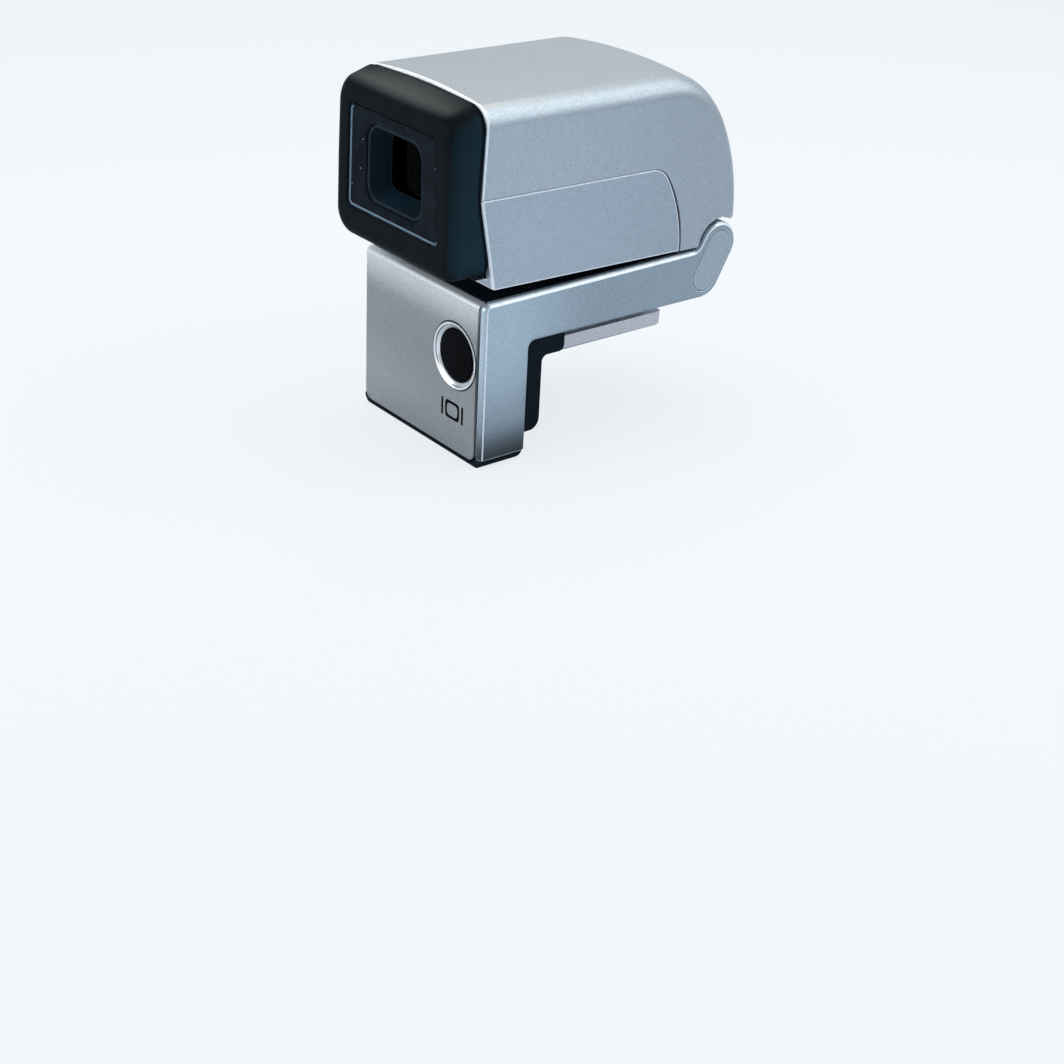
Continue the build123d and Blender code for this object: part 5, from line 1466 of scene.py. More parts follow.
@dataclass
class Casing:
    """Upper cover and lower housing of the head."""

    form: HeadForm = HeadForm()
    notch_radius: float = 3.6
    dial_middle: Flat = (-13.3, 18.55)
    dial_pocket: float = 3.12
    dial_sink: float = 0.6
    dial_shaft: float = 1.03
    edge: float = 0.06
    seam_edge: float = 0.19
    rear_edge: float = 0.3
    knuckle_inner: float = 6.65
    knuckle_outer: float = 9.85
    knuckle_radius: float = 3.1
    shroud_radius: float = 2.6
    bush_radius: float = 2.12
    web_top: float = 14.43
    web_foot: float = 12.03
    web_low: float = 12.63
    web_reach: float = 4.0
    screw_places: tuple[Flat, ...] = ((9.95, -17.0), (9.95, 1.0), (-9.95, -17.0), (-9.95, 1.0))
    screw_seat: float = 1.25
    screw_sink: float = 0.62
    screw_hole: float = 2.0
    shroud_turns: tuple[int, int, int] = (-35, 200, 5)

    def build(self, looks: Looks) -> None:
        """Builds and dresses both."""
        self.upper().finish("head", "grey_paint", looks.of("grey_paint"), "top_cover")
        self.lower().finish("head", "housing_paint", looks.of("housing_paint"), "lower_housing")

    def notch(self) -> Piece:
        """Cutter of the room for the hinge ears."""
        half = self.form.half + OVERRUN
        return drum(self.form.hinge, self.notch_radius, Axis.X, -half, half, WIDE_STEPS)

    def dial_cutters(self) -> tuple[Piece, Piece]:
        """Pocket of the dioptre dial and the hole of its shaft.

        Returns:
            Both cutters.
        """
        side = -self.form.half
        rows = (
            (self.dial_pocket, self.dial_sink, WIDE_STEPS),
            (self.dial_shaft, 2 * self.form.wall, SHAFT_STEPS),
        )
        return tuple(
            drum(self.dial_middle, radius, Axis.X, side - OVERRUN, side + depth, steps)
            for radius, depth, steps in rows
        )

    def is_rear_rim(self, edge: bmesh.types.BMEdge) -> bool:
        """Tells whether an edge runs round the outside of the rear face.

        Args:
            edge: the edge.

        Returns:
            Whether it does.
        """
        form = self.form
        ends = [vertex.co for vertex in edge.verts]
        if any(abs(end.y - form.rear(end.z)) > WELD for end in ends):
            return False
        side = all(abs(abs(end.x) - form.half) < WELD for end in ends)
        return side or all(end.z > form.round_start_height for end in ends)

    def upper(self) -> Piece:
        """Top, front and upper sides, crowned across and rounded into the sides.

        Returns:
            The upper cover.
        """
        form = self.form
        below = [
            form.lip_heel,
            (form.hinge[0], form.floor(form.hinge[0])),
            *reversed(form.seam(form.seam_rise, form.seam_reach)),
        ]
        sections = []
        for x in form.stations():
            line = form.section(x)
            back = line[-1][0] - form.lip[0]
            tip = (form.lip_tip[0] + back, form.lip_tip[1])
            sections.append([(x, y, z) for y, z in (*line, tip, *below)])
        # The rear rim's round gets a painted highlight.
        cover = Piece.skin("top_cover_skin", sections).bevel(self.is_rear_rim, self.rear_edge, 4, rim=True)
        cover.cut(form.hollow(), self.notch(), *self.dial_cutters())
        return cover.break_edges(self.edge)

    def lower(self) -> Piece:
        """Lower sides and floor, with the knuckles on their webs and the ribbon's shroud.

        Returns:
            The lower housing.
        """
        form = self.form
        outline = [*form.seam(0.0, 0.0), form.low_rear]
        housing = Piece.prism("lower_housing_skin", outline, Axis.X, -form.half, form.half)
        # The rear rim's round, and every small edge with the seam's, get a painted highlight.
        housing.bevel(self.is_rear_rim, self.rear_edge, 4, rim=True)
        housing.cut(form.hollow(), self.notch(), *self.dial_cutters()).break_edges(self.seam_edge, rim=True)
        y, z = form.hinge
        web = [
            (self.web_reach, self.web_foot),
            (self.web_reach, self.web_top),
            (y, z + self.knuckle_radius),
            (y, self.web_low),
            (form.seam_foot, self.web_low),
            (form.seam_foot, self.web_foot),
        ]
        near, far = self.knuckle_inner, self.knuckle_outer
        for low, high in ((-far, -near), (near, far)):
            knuckle = Piece.prism("web", web, Axis.X, low, high)
            knuckle.fuse(drum(form.hinge, self.knuckle_radius, Axis.X, low, high, WIDE_STEPS))
            housing.fuse(knuckle)
        first, last, step = self.shroud_turns
        turns = [math.radians(turn) for turn in range(first, last + 1, step)]
        shroud = arc_spots(form.hinge, self.knuckle_radius, turns)
        shroud += arc_spots(form.hinge, self.shroud_radius, reversed(turns))
        housing.fuse(Piece.prism("shroud", shroud, Axis.X, -near, near))
        housing.cut(drum(form.hinge, self.bush_radius, Axis.X, -form.half, form.half))
        for x, seat_y in self.screw_places:
            seat = form.floor(seat_y)
            low = seat - OVERRUN
            housing.cut(
                drum((x, seat_y), self.screw_seat, Axis.Z, low, seat + self.screw_sink, SCREW_STEPS),
                drum((x, seat_y), self.screw_seat / 2, Axis.Z, low, seat + self.screw_hole, HOLE_STEPS),
            )
        return housing


@dataclass
class Eyepiece:
    """Rubber eyecup and the glossy bezel in it."""

    form: HeadForm = HeadForm()
    middle_height: float = 23.85
    taper: float = 0.04
    front_gap: float = 0.5
    neck_inset: float = 0.12
    neck_edge: tuple[Flat, Flat] = ((0.02, 0.08), (0.1, 0.0))
    neck_reach: float = 0.08
    seat: float = 0.02
    cup_front: float = -23.6
    cup_rear: float = -28.05
    cup_front_size: tuple[float, float, float] = (24.9, 13.05, 34.35)
    cup_rear_size: tuple[float, float, float] = (24.2, 13.3, 33.45)
    cup_corner: float = 2.9
    cup_crown: float = 0.35
    corner_loss: float = 0.25
    cup_round: float = 1.5
    lip_round: float = 0.3
    hole_size: Flat = (18.28, 12.98)
    hole_corner: float = 0.94
    bezel_size: Flat = (18.2, 12.9)
    bezel_corner: float = 0.9
    bezel_rear: float = -27.9
    bezel_edge: float = 0.1
    bead_width: float = 0.1
    bead_slope: float = 0.15
    bead_depth: float = 0.14
    bead_reach: float = 0.8
    dish_margin: float = 0.9
    dish_depth: float = 0.16
    opening_size: Flat = (11.4, 9.7)
    opening_corner: float = 2.1
    opening_edge: float = 0.12
    opening_lip: float = 0.03
    throat_size: Flat = (9.6, 7.7)
    throat_corner: float = 1.5
    throat_wall: float = 0.3
    throat_gap: float = 0.1
    throat_lip: float = 0.05
    throat_turn: float = 0.2
    window_size: Flat = (12.0, 9.8)
    window_corner: float = 1.0
    window_rear: float = -24.7

    def build(self, looks: Looks) -> None:
        """Builds and dresses the eyecup, the bezel and the throat in it.

        Args:
            looks: the materials.
        """
        self.eyecup().finish("head", "rubber", looks.of("rubber"), "eyecup")
        self.bezel().finish("head", "gloss_black", looks.of("panel_gloss"), "eyepiece_bezel")
        self.throat().finish("head", "black_plastic", looks.of("throat_coat"))

    def narrowed(self, outline: list[Flat], share: float = 1.0) -> list[Flat]:
        """Outline that is narrower at its top than at its bottom, by a share of the full taper."""
        reach = self.cup_rear_size[2] - self.middle_height
        return [(x * (1 - share * self.taper * (z - self.middle_height) / reach), z) for x, z in outline]

    def ring(self, depth: float, size: Flat, corner: float) -> list[Spot]:
        """Rounded rectangle on the eye's axis.

        Args:
            depth: place along Y.
            size: width and height.
            corner: radius of the corners.

        Returns:
            The ring of points.
        """
        low = self.middle_height - size[1] / 2
        outline = self.narrowed(soft_frame(size[0], low, low + size[1], corner))
        return [(x, depth, z) for x, z in outline]

    def cup_ring(self, depth: float, inset: float, ahead: float = 0.0) -> list[Spot]:
        """Outer section of the eyecup.

        Args:
            depth: place along Y.
            inset: how far it is shrunk.
            ahead: how far it is moved forward after that.

        Returns:
            The ring of points.
        """
        share = (self.cup_front - depth) / (self.cup_front - self.cup_rear)
        width, low, high = (
            near + (far - near) * share for near, far in zip(self.cup_front_size, self.cup_rear_size)
        )
        corner = self.cup_corner - self.corner_loss * inset
        flat = soft_frame(width - 2 * inset, low + inset, high - inset, corner, self.cup_crown)
        flat = self.narrowed(flat, share)
        near = self.cup_front + self.front_gap
        return [(x, depth + (1 - share) * (self.form.rear(z) - near) + ahead, z) for x, z in flat]

    def eyecup(self) -> Piece:
        """Soft tapered frame, rounded at its rear edge and at the lip of its hole.

        Returns:
            The eyecup.
        """
        sections = [
            self.cup_ring(self.cup_front, self.neck_inset, self.front_gap - self.seat),
            self.cup_ring(self.cup_front, self.neck_inset),
            *(self.cup_ring(self.cup_front - back, inset) for back, inset in self.neck_edge),
        ]
        for lean in quarter(10):
            depth = self.cup_rear + self.cup_round * (1 - math.sin(lean))
            sections.append(self.cup_ring(depth, self.cup_round * (1 - math.cos(lean))))
        width, height = self.hole_size
        for lean in quarter(5):
            grown = 2 * self.lip_round * (1 - math.sin(lean))
            depth = self.cup_rear + self.lip_round * (1 - math.cos(lean))
            sections.append(self.ring(depth, (width + grown, height + grown), self.hole_corner + grown / 2))
        front = self.form.seam_rear[0] - self.seat
        sections.append(self.ring(front, self.hole_size, self.hole_corner))

        def is_neck(face: bpy.types.MeshPolygon) -> bool:
            """Tells whether a face is on the neck or on the edge behind it, which get painted shade in the
            gap to the head.
            """
            return face.center.y > self.form.rear(face.center.z) - self.front_gap - self.neck_reach

        # The neck is marked for painted shade in the gap to the head.
        return Piece.skin("eyecup_skin", sections, looped=True).mark_painted_edge(is_neck)

    def bezel(self) -> Piece:
        """Panel dished towards the opening, whose throat narrows down to the window.

        Returns:
            The bezel.
        """
        width, height = self.bezel_size
        soft = self.opening_edge

        def shrunk(margin: float) -> Flat:
            """Size of the bezel less a margin all round."""
            return (width - 2 * margin, height - 2 * margin)

        bead = self.bezel_edge + self.bead_width
        foot = bead + self.bead_slope
        panel = self.bezel_rear + self.bead_depth
        opening = (self.opening_size[0] + 2 * soft, self.opening_size[1] + 2 * soft)
        sections = [
            self.ring(self.cup_front, self.bezel_size, self.bezel_corner),
            self.ring(self.bezel_rear + self.bezel_edge, self.bezel_size, self.bezel_corner),
            self.ring(self.bezel_rear, shrunk(self.bezel_edge), self.bezel_corner - self.bezel_edge),
            self.ring(self.bezel_rear, shrunk(bead), self.bezel_corner - bead),
            self.ring(panel, shrunk(foot), self.bezel_corner - foot),
            self.ring(panel, shrunk(self.dish_margin), self.opening_corner),
            self.ring(panel + self.dish_depth - self.opening_lip, opening, self.opening_corner + soft),
            self.ring(panel + self.dish_depth + soft, self.opening_size, self.opening_corner),
            self.ring(self.window_rear, self.throat_size, self.throat_corner),
            self.ring(self.window_rear, self.window_size, self.window_corner),
            self.ring(self.cup_front, self.window_size, self.window_corner),
        ]

        def is_bead(face: bpy.types.MeshPolygon) -> bool:
            """Tells whether a face is on the bead's slope, on the left or below, where it gets a painted
            highlight.

            Args:
                face: the face.

            Returns:
                Whether it is.
            """
            middle = self.bezel_rear + self.bead_depth / 2
            left = face.center.x < self.bead_reach - width / 2
            low = face.center.z < self.middle_height + self.bead_reach - height / 2
            return (left or low) and abs(face.center.y - middle) < self.bead_depth / 4

        # The bead's slope on the left and below gets a painted highlight.
        return Piece.skin("eyepiece_bezel_skin", sections, looped=True).mark_painted_edge(is_bead)

    def throat(self) -> Piece:
        """Thin dull lining of the opening, down to the window.

        Returns:
            The lining.
        """
        inset = 2 * self.throat_wall
        rear = self.bezel_rear + self.bead_depth + 2 * self.dish_depth
        front = self.window_rear - self.seat
        outer = tuple(side - self.throat_gap for side in self.opening_size)
        inner = tuple(side - inset for side in outer)
        end = tuple(side - inset for side in self.throat_size)
        sections = [
            self.ring(front, self.throat_size, self.throat_corner),
            self.ring(rear, outer, self.opening_corner),
            self.ring(rear + self.throat_lip, inner, self.opening_corner - self.throat_turn),
            self.ring(front, end, self.throat_corner - self.throat_turn),
        ]
        return Piece.skin("eyepiece_throat_skin", sections, looped=True)


@dataclass
class Leg:
    """Grey plate of the leg with its ring, button and symbol, and the black cover on its other side."""

    plate_right: float = 11.22
    plate_left: float = -12.6
    plate_low: float = -10.97
    plate_high: float = 10.1
    plate_rear: float = -22.85
    plate_front: float = -21.85
    plate_corner: float = 1.1
    plate_soft: float = 0.85
    plate_edge: float = 0.09
    ring_hole: float = 4.46
    button_middle: Flat = BUTTON_MIDDLE
    ring_radius: float = 4.3
    ring_lip: float = 4.15
    ring_bore: float = 3.46
    ring_rear: float = -22.95
    ring_dish: float = 0.36
    ring_edge: float = 0.05
    ring_step: float = 0.02
    ring_groove: Flat = (3.98, 3.87)
    groove_depth: float = 0.8
    button_radius: float = 3.36
    button_face: float = -22.62
    button_dome: float = 0.08
    button_edge: float = 0.22
    dome_steps: int = 6
    flange_radius: float = 3.8
    flange_rear: float = -21.75
    flange_front: float = -21.2
    symbol_middle: Flat = (6.57, -5.67)
    symbol_size: Flat = (4.55, 2.4)
    screen_width: float = 2.95
    screen_bow: float = 0.12
    screen_corner: float = 0.36
    stroke: float = 0.38
    ink: float = 0.012
    cover_half: float = 11.3
    cover_rear: float = -15.75
    cover_front: float = -12.6
    cover_low: float = -8.8
    cover_high: float = 4.05
    step_front: float = -9.1
    step_low: float = 1.1
    cover_round: float = 1.5
    step_round: float = 0.8
    cover_edge: float = 0.12
    port_half: Flat = (6.45, 1.65)
    port_height: float = -2.0
    screw_places: tuple[Flat, ...] = ((9.0, -5.8), (-9.0, -5.8))
    screw_seat: float = 1.15
    screw_head: float = 0.5
    screw_overlap: float = 0.1

    def build(self, looks: Looks) -> None:
        """Builds and dresses the pieces.

        Args:
            looks: the materials.
        """
        self.plate().finish("base", "plate_paint", looks.of("plate_paint"), "rear_plate")
        self.ring().finish("base", "bright_aluminium", looks.of("bright_aluminium"), "button_ring")
        self.button().finish("button", "gloss_black", looks.of("gloss_black"), "mode_button")
        self.symbol().finish("base", "black_plastic", looks.of("gloss_black"))
        self.cover().finish("base", "black_plastic", looks.of("black_plastic"), "inner_cover")

    def plate(self) -> Piece:
        """Flat plate with a soft upper edge and the ring's hole.

        Returns:
            The plate.
        """
        left, right, low, high = self.plate_left, self.plate_right, self.plate_low, self.plate_high
        rear, front, corner = self.plate_rear, self.plate_front, self.plate_corner
        outline = rounded(((right, low, corner), (right, high, 0), (left, high, 0), (left, low, corner)))
        plate = Piece.prism("rear_plate_skin", outline, Axis.Y, rear, front)

        def is_top_rear(edge: bmesh.types.BMEdge) -> bool:
            """Tells whether an edge is the upper one of the rear face."""
            return all(vert.co.z > high - WELD and vert.co.y < rear + WELD for vert in edge.verts)

        plate.bevel(is_top_rear, self.plate_soft, 8)
        ends = (rear - OVERRUN, front + OVERRUN)
        hole = drum(self.button_middle, self.ring_hole, Axis.Y, *ends, WIDE_STEPS)
        return plate.cut(hole).break_edges(self.plate_edge)

    def ring(self) -> Piece:
        """Bright ring, dished from its lip down to its bore, with a fine groove in the dish.

        Returns:
            The ring.
        """
        rear, soft = self.ring_rear, self.ring_edge
        depth = self.ring_dish - self.ring_step
        slope = depth / (self.ring_lip - self.ring_bore - soft)
        outer, inner = self.ring_groove
        profile = [
            (self.ring_lip, rear),
            (outer, rear + slope * (self.ring_lip - outer)),
            (outer, rear + self.groove_depth),
            (inner, rear + self.groove_depth),
            (inner, rear + slope * (self.ring_lip - inner)),
            (self.ring_bore + soft, rear + depth),
            (self.ring_bore, rear + self.ring_dish + soft),
            (self.ring_bore, self.plate_front),
            (self.ring_radius, self.plate_front),
            (self.ring_radius, rear + soft),
            (self.ring_radius - soft, rear),
        ]
        return Piece.turned("button_ring_skin", profile, self.button_middle)

    def button(self) -> Piece:
        """Round button, slightly domed, on its flange.

        Returns:
            The button.
        """
        edge = self.button_edge
        profile = [(0.0, self.flange_front), (self.flange_radius, self.flange_front)]
        profile += [(self.flange_radius, self.flange_rear), (self.button_radius, self.flange_rear)]
        rim = self.button_face + edge
        for lean in quarter(6):
            radius = self.button_radius - edge * (1 - math.cos(lean))
            profile.append((radius, rim - edge * math.sin(lean)))
        flat = self.button_radius - edge
        for step in range(1, self.dome_steps + 1):
            radius = flat * (1 - step / self.dome_steps)
            profile.append((radius, self.button_face - self.button_dome * (1 - (radius / flat) ** 2)))
        return Piece.turned("mode_button_skin", profile, self.button_middle)

    def symbol(self) -> Piece:
        """Generic symbol of a screen between two bars, in raised ink.

        Returns:
            The symbol.
        """
        x, z = self.symbol_middle
        width, height = self.symbol_size
        rear = self.plate_rear - self.ink
        outer = self.screen(self.screen_width, height)
        inner = self.screen(self.screen_width - 2 * self.stroke, height - 2 * self.stroke)
        symbol = Piece.prism("symbol_screen", outer, Axis.Y, rear, self.plate_rear + self.ink)
        symbol.cut(Piece.prism("gap", inner, Axis.Y, rear - OVERRUN, self.plate_rear + OVERRUN))
        for side in (-1, 1):
            middle = x + side * (width - self.stroke) / 2
            low = (middle - self.stroke / 2, rear, z - height / 2)
            high = (middle + self.stroke / 2, self.plate_rear + self.ink, z + height / 2)
            symbol.fuse(Piece.block("bar", low, high))
        return symbol

    def screen(self, width: float, height: float) -> list[Flat]:
        """Screen outline whose upright sides bow outwards a little.

        Args:
            width: width at its middle height.
            height: its height.

        Returns:
            The outline's points.
        """
        x, z = self.symbol_middle
        low = z - height / 2
        outline = soft_frame(width - 2 * self.screen_bow, low, low + height, self.screen_corner)
        bowed = []
        for across, up in outline:
            bow = math.copysign(self.screen_bow, across) * (1 - ((up - z) * 2 / height) ** 2)
            bowed.append((x + across + bow, up))
        return bowed

    def cover(self) -> Piece:
        """Black cover that steps forward under the arm.

        Returns:
            The cover.
        """
        corners = (
            (self.cover_rear, self.cover_low, 0),
            (self.cover_rear, self.cover_high, 0),
            (self.step_front, self.cover_high, 0),
            (self.step_front, self.step_low, self.step_round),
            (self.cover_front, self.step_low, self.step_round),
            (self.cover_front, self.cover_low, self.cover_round),
        )
        cover = Piece.prism("inner_cover_skin", rounded(corners), Axis.X, -self.cover_half, self.cover_half)
        across, rise = self.port_half
        low = (-across, self.cover_rear - OVERRUN, self.port_height - rise)
        high = (across, self.cover_front + OVERRUN, self.port_height + rise)
        cover.cut(Piece.block("port", low, high))
        for place in self.screw_places:
            seat = self.cover_front - self.screw_head
            cover.cut(
                drum(place, self.screw_seat, Axis.Y, seat, high[1], SCREW_STEPS),
                drum(place, self.screw_seat / 2, Axis.Y, low[1], seat + self.screw_overlap, HOLE_STEPS),
            )
        return cover.break_edges(self.cover_edge)


@dataclass
class Arm:
    """Silver shell: the arm, the leg's sides and the hinge ears, with the flush caps."""

    half: float = 12.7
    wall: float = 1.2
    rear: float = -22.85
    low: float = -10.35
    rear_top: float = 10.2
    front_top: float = 10.8
    underside: float = 4.1
    leg_front: float = -15.8
    pocket_front: float = 9.0
    pocket_floor: float = 5.3
    ear_foot: Flat = (12.9, 7.1)
    hinge: Flat = HINGE
    ear_radius: float = 3.0
    ear_inner: float = 10.0
    ear_room: float = 4.8
    room_reach: Flat = (5.0, 7.0)
    ear_root: float = 1.5
    ear_steps: int = 24
    corner: float = 0.9
    rim: float = 0.6
    # Face directions on the side round that get a painted highlight.
    bright_from: float = 0.12
    bright_to: float = 0.95
    bright_rear: float = 0.72
    rearward: float = -0.2
    upward: float = 0.2
    ear_low: float = -0.5
    edge: float = 0.08
    cap_radius: float = 1.95
    cap_groove: float = 0.09
    cap_thick: float = 0.6
    cap_edge: float = 0.05
    pin_head: float = 1.87
    pin_head_depth: float = 0.55
    pin_radius: float = 1.27
    slot_low: Spot = (-15.0, -2.45, 6.85)
    slot_high: Spot = (-10.0, 2.65, 8.15)
    ribbon_low: Spot = (2.2, 8.8, 8.1)
    ribbon_high: Spot = (6.0, 15.0, 13.8)
    seat_low: Spot = (-13.7, -23.85, -13.0)
    seat_high: Spot = (-11.2, -21.82, 13.0)
    gap_low: Spot = (11.0, -23.85, -13.0)
    gap_high: Spot = (11.7, -21.82, 13.0)

    def build(self, looks: Looks) -> None:
        """Builds and dresses the shell and both caps.

        Args:
            looks: the materials.
        """
        self.shell().finish("base", "silver_paint", looks.of("silver_paint"), "base_shell")
        for side, name in ((-1, "hinge_cap_left"), (1, "hinge_cap_right")):
            self.cap(side, name).finish("base", "cap_plastic", looks.of("cap_plastic"), name)

    def side_view(self) -> list[Flat]:
        """Outline of the arm and the leg's side, with the ear at the front.

        Returns:
            The outline's points.
        """
        lean = Vector(self.hinge) - Vector(self.ear_foot)
        along = lean.normalized()
        left = Vector((-along.y, along.x)) * self.ear_radius
        low_left = Vector(self.ear_foot) + left
        slope = (self.front_top - self.rear_top) / (self.ear_foot[0] - self.rear)
        top_at_zero = self.rear_top - slope * self.rear
        reach = (top_at_zero + slope * low_left.x - low_left.y) / (along.y - slope * along.x)
        root = low_left + along * reach
        corners = [
            (self.rear, self.low, 0),
            (self.rear, self.rear_top, self.corner),
            (root.x, root.y, self.ear_root),
        ]
        start = math.atan2(left.y, left.x)
        end = start - math.pi
        rest = end + math.pi / 2
        steps = self.ear_steps
        turns = [start - math.pi * step / steps for step in range(steps + 1)]
        bends = arc_spots(self.hinge, self.ear_radius, turns)
        steps //= 2
        turns = [end - rest * step / steps for step in range(steps + 1)]
        bends += arc_spots(self.ear_foot, self.ear_radius, turns)
        corners += [(*spot, 0) for spot in bends]
        corners += [(self.leg_front, self.underside, self.corner), (self.leg_front, self.low, 0)]
        return rounded(corners)

    def shell(self) -> Piece:
        """Shell cut out of the side view.

        Returns:
            The shell.
        """
        shell = Piece.prism("base_shell_skin", self.side_view(), Axis.X, -self.half, self.half)

        def is_rim(edge: bmesh.types.BMEdge) -> bool:
            """Tells whether an edge runs along one side, other than below.

            Args:
                edge: the edge.

            Returns:
                Whether it is.
            """
            outside = all(abs(abs(vert.co.x) - self.half) < WELD for vert in edge.verts)
            low = all(vert.co.z < self.low + WELD for vert in edge.verts)
            one_side = edge.verts[0].co.x * edge.verts[1].co.x > 0
            return outside and one_side and not low

        def is_bright(face: bpy.types.MeshPolygon) -> bool:
            """Tells whether a face is on the part of the round that gets a painted highlight.

            Args:
                face: the face.

            Returns:
                Whether it is.
            """
            side, forward, up = face.normal
            if not self.bright_from < abs(side) < self.bright_to:
                return False
            if forward < self.rearward:
                return abs(side) > self.bright_rear
            return up > self.upward or (face.center.y > self.ear_foot[0] and up > self.ear_low)

        # The side rounds get a painted highlight where light would catch them.
        shell.bevel(is_rim, self.rim, 5).mark_painted_edge(is_bright)
        inner = self.half - self.wall
        over = FAR_OVERRUN
        channel = [
            (self.rear - over, self.low - over),
            (self.rear - over, self.front_top + over),
            (self.pocket_front, self.front_top + over),
            (self.pocket_front, self.pocket_floor),
            (self.leg_front, self.pocket_floor),
            (self.leg_front, self.underside),
            (self.leg_front + over, self.underside),
            (self.leg_front + over, self.low - over),
        ]
        y, z = self.hinge
        ahead, above = self.room_reach
        room_low = (-self.ear_inner, y - OVERRUN, self.underside)
        shell.cut(
            Piece.prism("channel", channel, Axis.X, -inner, inner),
            drum(self.hinge, self.ear_room, Axis.X, -self.ear_inner, self.ear_inner, WIDE_STEPS),
            Piece.block("room", room_low, (self.ear_inner, y + ahead, z + above)),
            drum(self.hinge, self.pin_radius, Axis.X, -self.half, self.half, SCREW_STEPS),
            Piece.block("lever_slot", self.slot_low, self.slot_high),
            Piece.block("ribbon_slot", self.ribbon_low, self.ribbon_high),
            Piece.block("plate_seat", self.seat_low, self.seat_high),
            Piece.block("plate_gap", self.gap_low, self.gap_high),
        )
        for side in (-1, 1):
            floor = side * (self.half - self.cap_thick)
            deep = floor - side * self.pin_head_depth
            outer = side * (self.half + OVERRUN)
            recess = slot_outline(self.ear_foot, self.hinge, self.cap_radius + self.cap_groove)
            shell.cut(
                Piece.prism("recess", recess, Axis.X, min(floor, outer), max(floor, outer)),
                drum(self.hinge, self.pin_head, Axis.X, min(deep, outer), max(deep, outer), 48),
            )
        # Every small edge of the shell gets a painted highlight.
        return shell.break_edges(self.edge, rim=True)

    def cap(self, side: int, name: str) -> Piece:
        """Flush pill-shaped cap over a hinge pin.

        Args:
            side: minus one for the left ear, one for the right.
            name: the node that it stands for.

        Returns:
            The cap.
        """
        outline = slot_outline(self.ear_foot, self.hinge, self.cap_radius)
        ends = sorted((side * (self.half - self.cap_thick), side * self.half))
        cap = Piece.prism(f"{name}_skin", outline, Axis.X, *ends)
        return cap.break_edges(self.cap_edge)


# Studio


@dataclass(frozen=True)
class Softbox:
    """Square soft lamp: its name, place and target, its side, its power and its tint."""

    name: str
    place: Spot
    target: Spot
    size: float
    power: float
    tint: Tint


ARM_LEVEL: Spot = (0.0, 0.0, 10.0)

SOFTBOXES = (
    Softbox("key_softbox", (150.0, 180.0, 240.0), ARM_LEVEL, 300.0, 0.56, (0.95, 0.985, 1.0)),
    Softbox("top_softbox", (-60.0, 20.0, 280.0), ARM_LEVEL, 220.0, 0.58, (1.0, 0.85, 0.71)),
    Softbox("rear_softbox", (-120.0, -300.0, 60.0), (0.0, 0.0, 0.0), 200.0, 0.6, (1.0, 0.99, 0.96)),
)


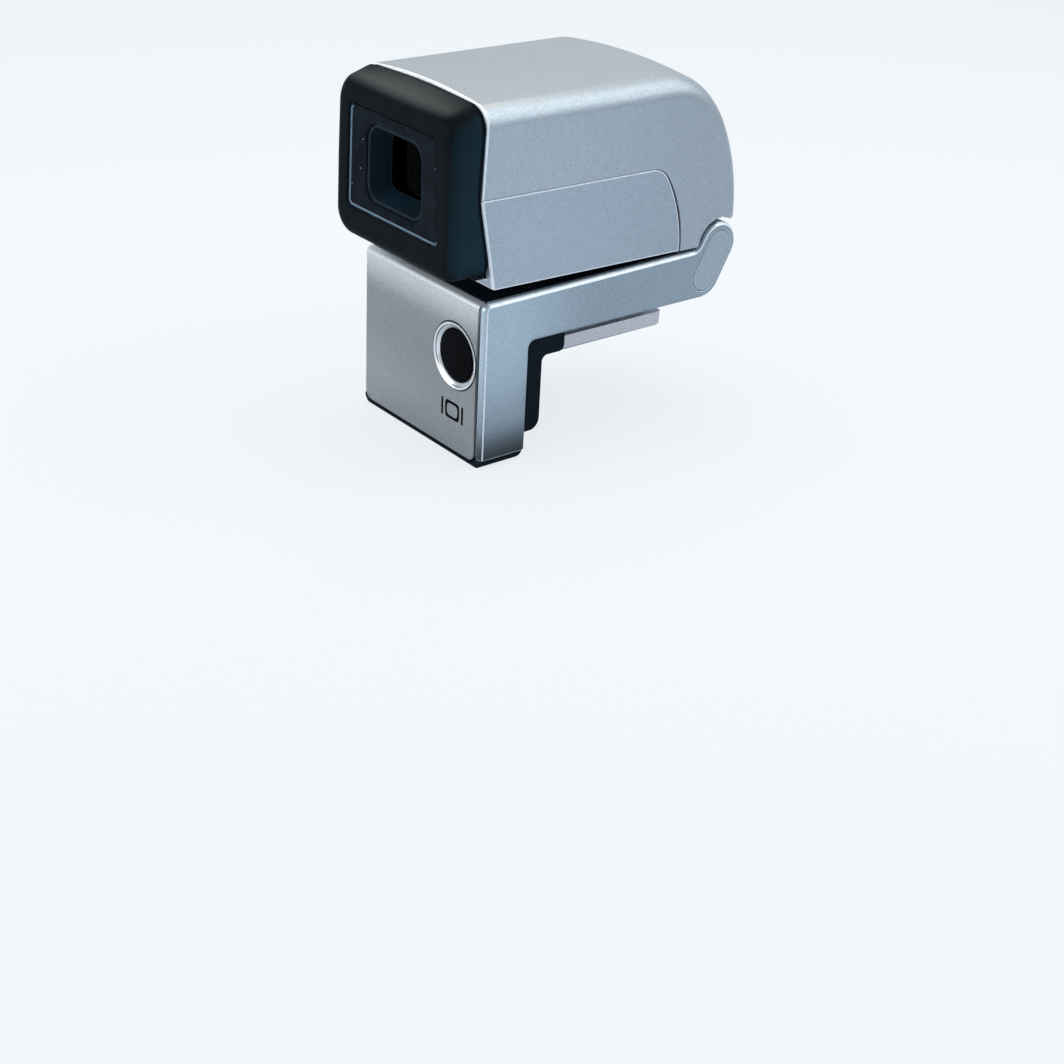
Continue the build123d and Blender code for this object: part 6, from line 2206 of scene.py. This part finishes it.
@dataclass
class Studio:
    """Pale floor, soft lamps and the camera of the photograph."""

    floor_height: float = -11.5
    floor_half: float = 900.0
    floor_tint: Tint = (0.6, 0.67, 0.75)
    floor_shown: Tint = (0.92, 0.95, 0.975)
    shown_share: float = 0.82
    sky_tint: Tint = (0.82, 0.91, 1.0)
    sky_power: float = 0.6
    backdrop_tint: Tint = (0.97, 0.985, 1.0)
    lens: float = 64.26
    sensor: float = 36.0
    clip: Flat = (0.005, 10.0)
    camera_place: Spot = (179.37, -152.80, 93.17)
    camera_turn: Spot = (61.847, -2.723, 51.655)

    def build(self) -> None:
        """Makes the floor, the world, the lamps and the camera."""
        self.build_floor()
        self.build_world()
        for softbox in SOFTBOXES:
            self.hang(softbox)
        self.build_camera()
        log.info("studio: floor, world, three lamps and the camera")

    def build_floor(self) -> None:
        """Makes the floor, pale to the camera and in reflections."""
        bpy.ops.object.select_all(action="DESELECT")
        height = self.floor_height * MM
        bpy.ops.mesh.primitive_plane_add(size=2 * self.floor_half * MM, location=(0, 0, height))
        floor = bpy.context.active_object
        floor.name = "floor"
        look = bpy.data.materials.new("floor_paint")
        look.use_nodes = True
        look.node_tree.nodes.clear()
        graph = Graph(look.node_tree)
        seen = graph.node("ShaderNodeLightPath").outputs["Is Camera Ray"]
        matt = graph.node("ShaderNodeBsdfDiffuse", Color=self.floor_tint)
        pale = graph.node("ShaderNodeEmission", Color=self.floor_shown, Strength=1.0)
        share = graph.math("MULTIPLY", seen, self.shown_share)
        mixed = graph.node("ShaderNodeMixShader", at0=share, at1=matt.outputs[0], at2=pale.outputs[0])
        graph.node("ShaderNodeOutputMaterial", Surface=mixed.outputs[0])
        floor.data.materials.append(look)

    def build_world(self) -> None:
        """Soft grey light all round, white where the camera or glass looks at it."""
        world = bpy.data.worlds.new("studio")
        bpy.context.scene.world = world
        world.use_nodes = True
        world.node_tree.nodes.clear()
        graph = Graph(world.node_tree)
        path = graph.node("ShaderNodeLightPath").outputs
        seen = graph.math("MAXIMUM", path["Is Camera Ray"], path["Is Transmission Ray"])
        soft = graph.node("ShaderNodeBackground", Color=self.sky_tint, Strength=self.sky_power)
        white = graph.node("ShaderNodeBackground", Color=self.backdrop_tint, Strength=1.0)
        mixed = graph.node("ShaderNodeMixShader", at0=seen, at1=soft.outputs[0], at2=white.outputs[0])
        graph.node("ShaderNodeOutputWorld", Surface=mixed.outputs[0])

    def hang(self, softbox: Softbox) -> None:
        """Hangs a lamp so that it faces its target.

        Args:
            softbox: the lamp.
        """
        bpy.ops.object.select_all(action="DESELECT")
        bpy.ops.object.light_add(type="AREA", location=Vector(softbox.place) * MM)
        lamp = bpy.context.active_object
        lamp.name = softbox.name
        lamp.data.size = softbox.size * MM
        lamp.data.energy = softbox.power
        lamp.data.color = softbox.tint
        aim = Vector(softbox.target) - Vector(softbox.place)
        lamp.rotation_euler = aim.to_track_quat("-Z", "Y").to_euler()

    def build_camera(self) -> None:
        """Sets the camera where the photograph was taken from."""
        bpy.ops.object.camera_add(
            location=Vector(self.camera_place) * MM,
            rotation=tuple(math.radians(turn) for turn in self.camera_turn),
        )
        camera = bpy.context.active_object
        camera.name = "camera"
        camera.data.lens = self.lens
        camera.data.sensor_width = self.sensor
        camera.data.clip_start, camera.data.clip_end = self.clip
        bpy.context.scene.camera = camera
        bpy.context.scene.view_settings.view_transform = "Standard"


def main() -> None:
    """Builds the studio and each sub-assembly, and reports them."""
    logging.basicConfig(level=logging.INFO, format="%(name)s: %(message)s")
    looks = Looks()
    looks.dress_nodes()
    for assembly in (Casing(), Eyepiece(), Leg(), Arm()):
        assembly.build(looks)
    Studio().build()


if __name__ == "__main__":
    main()
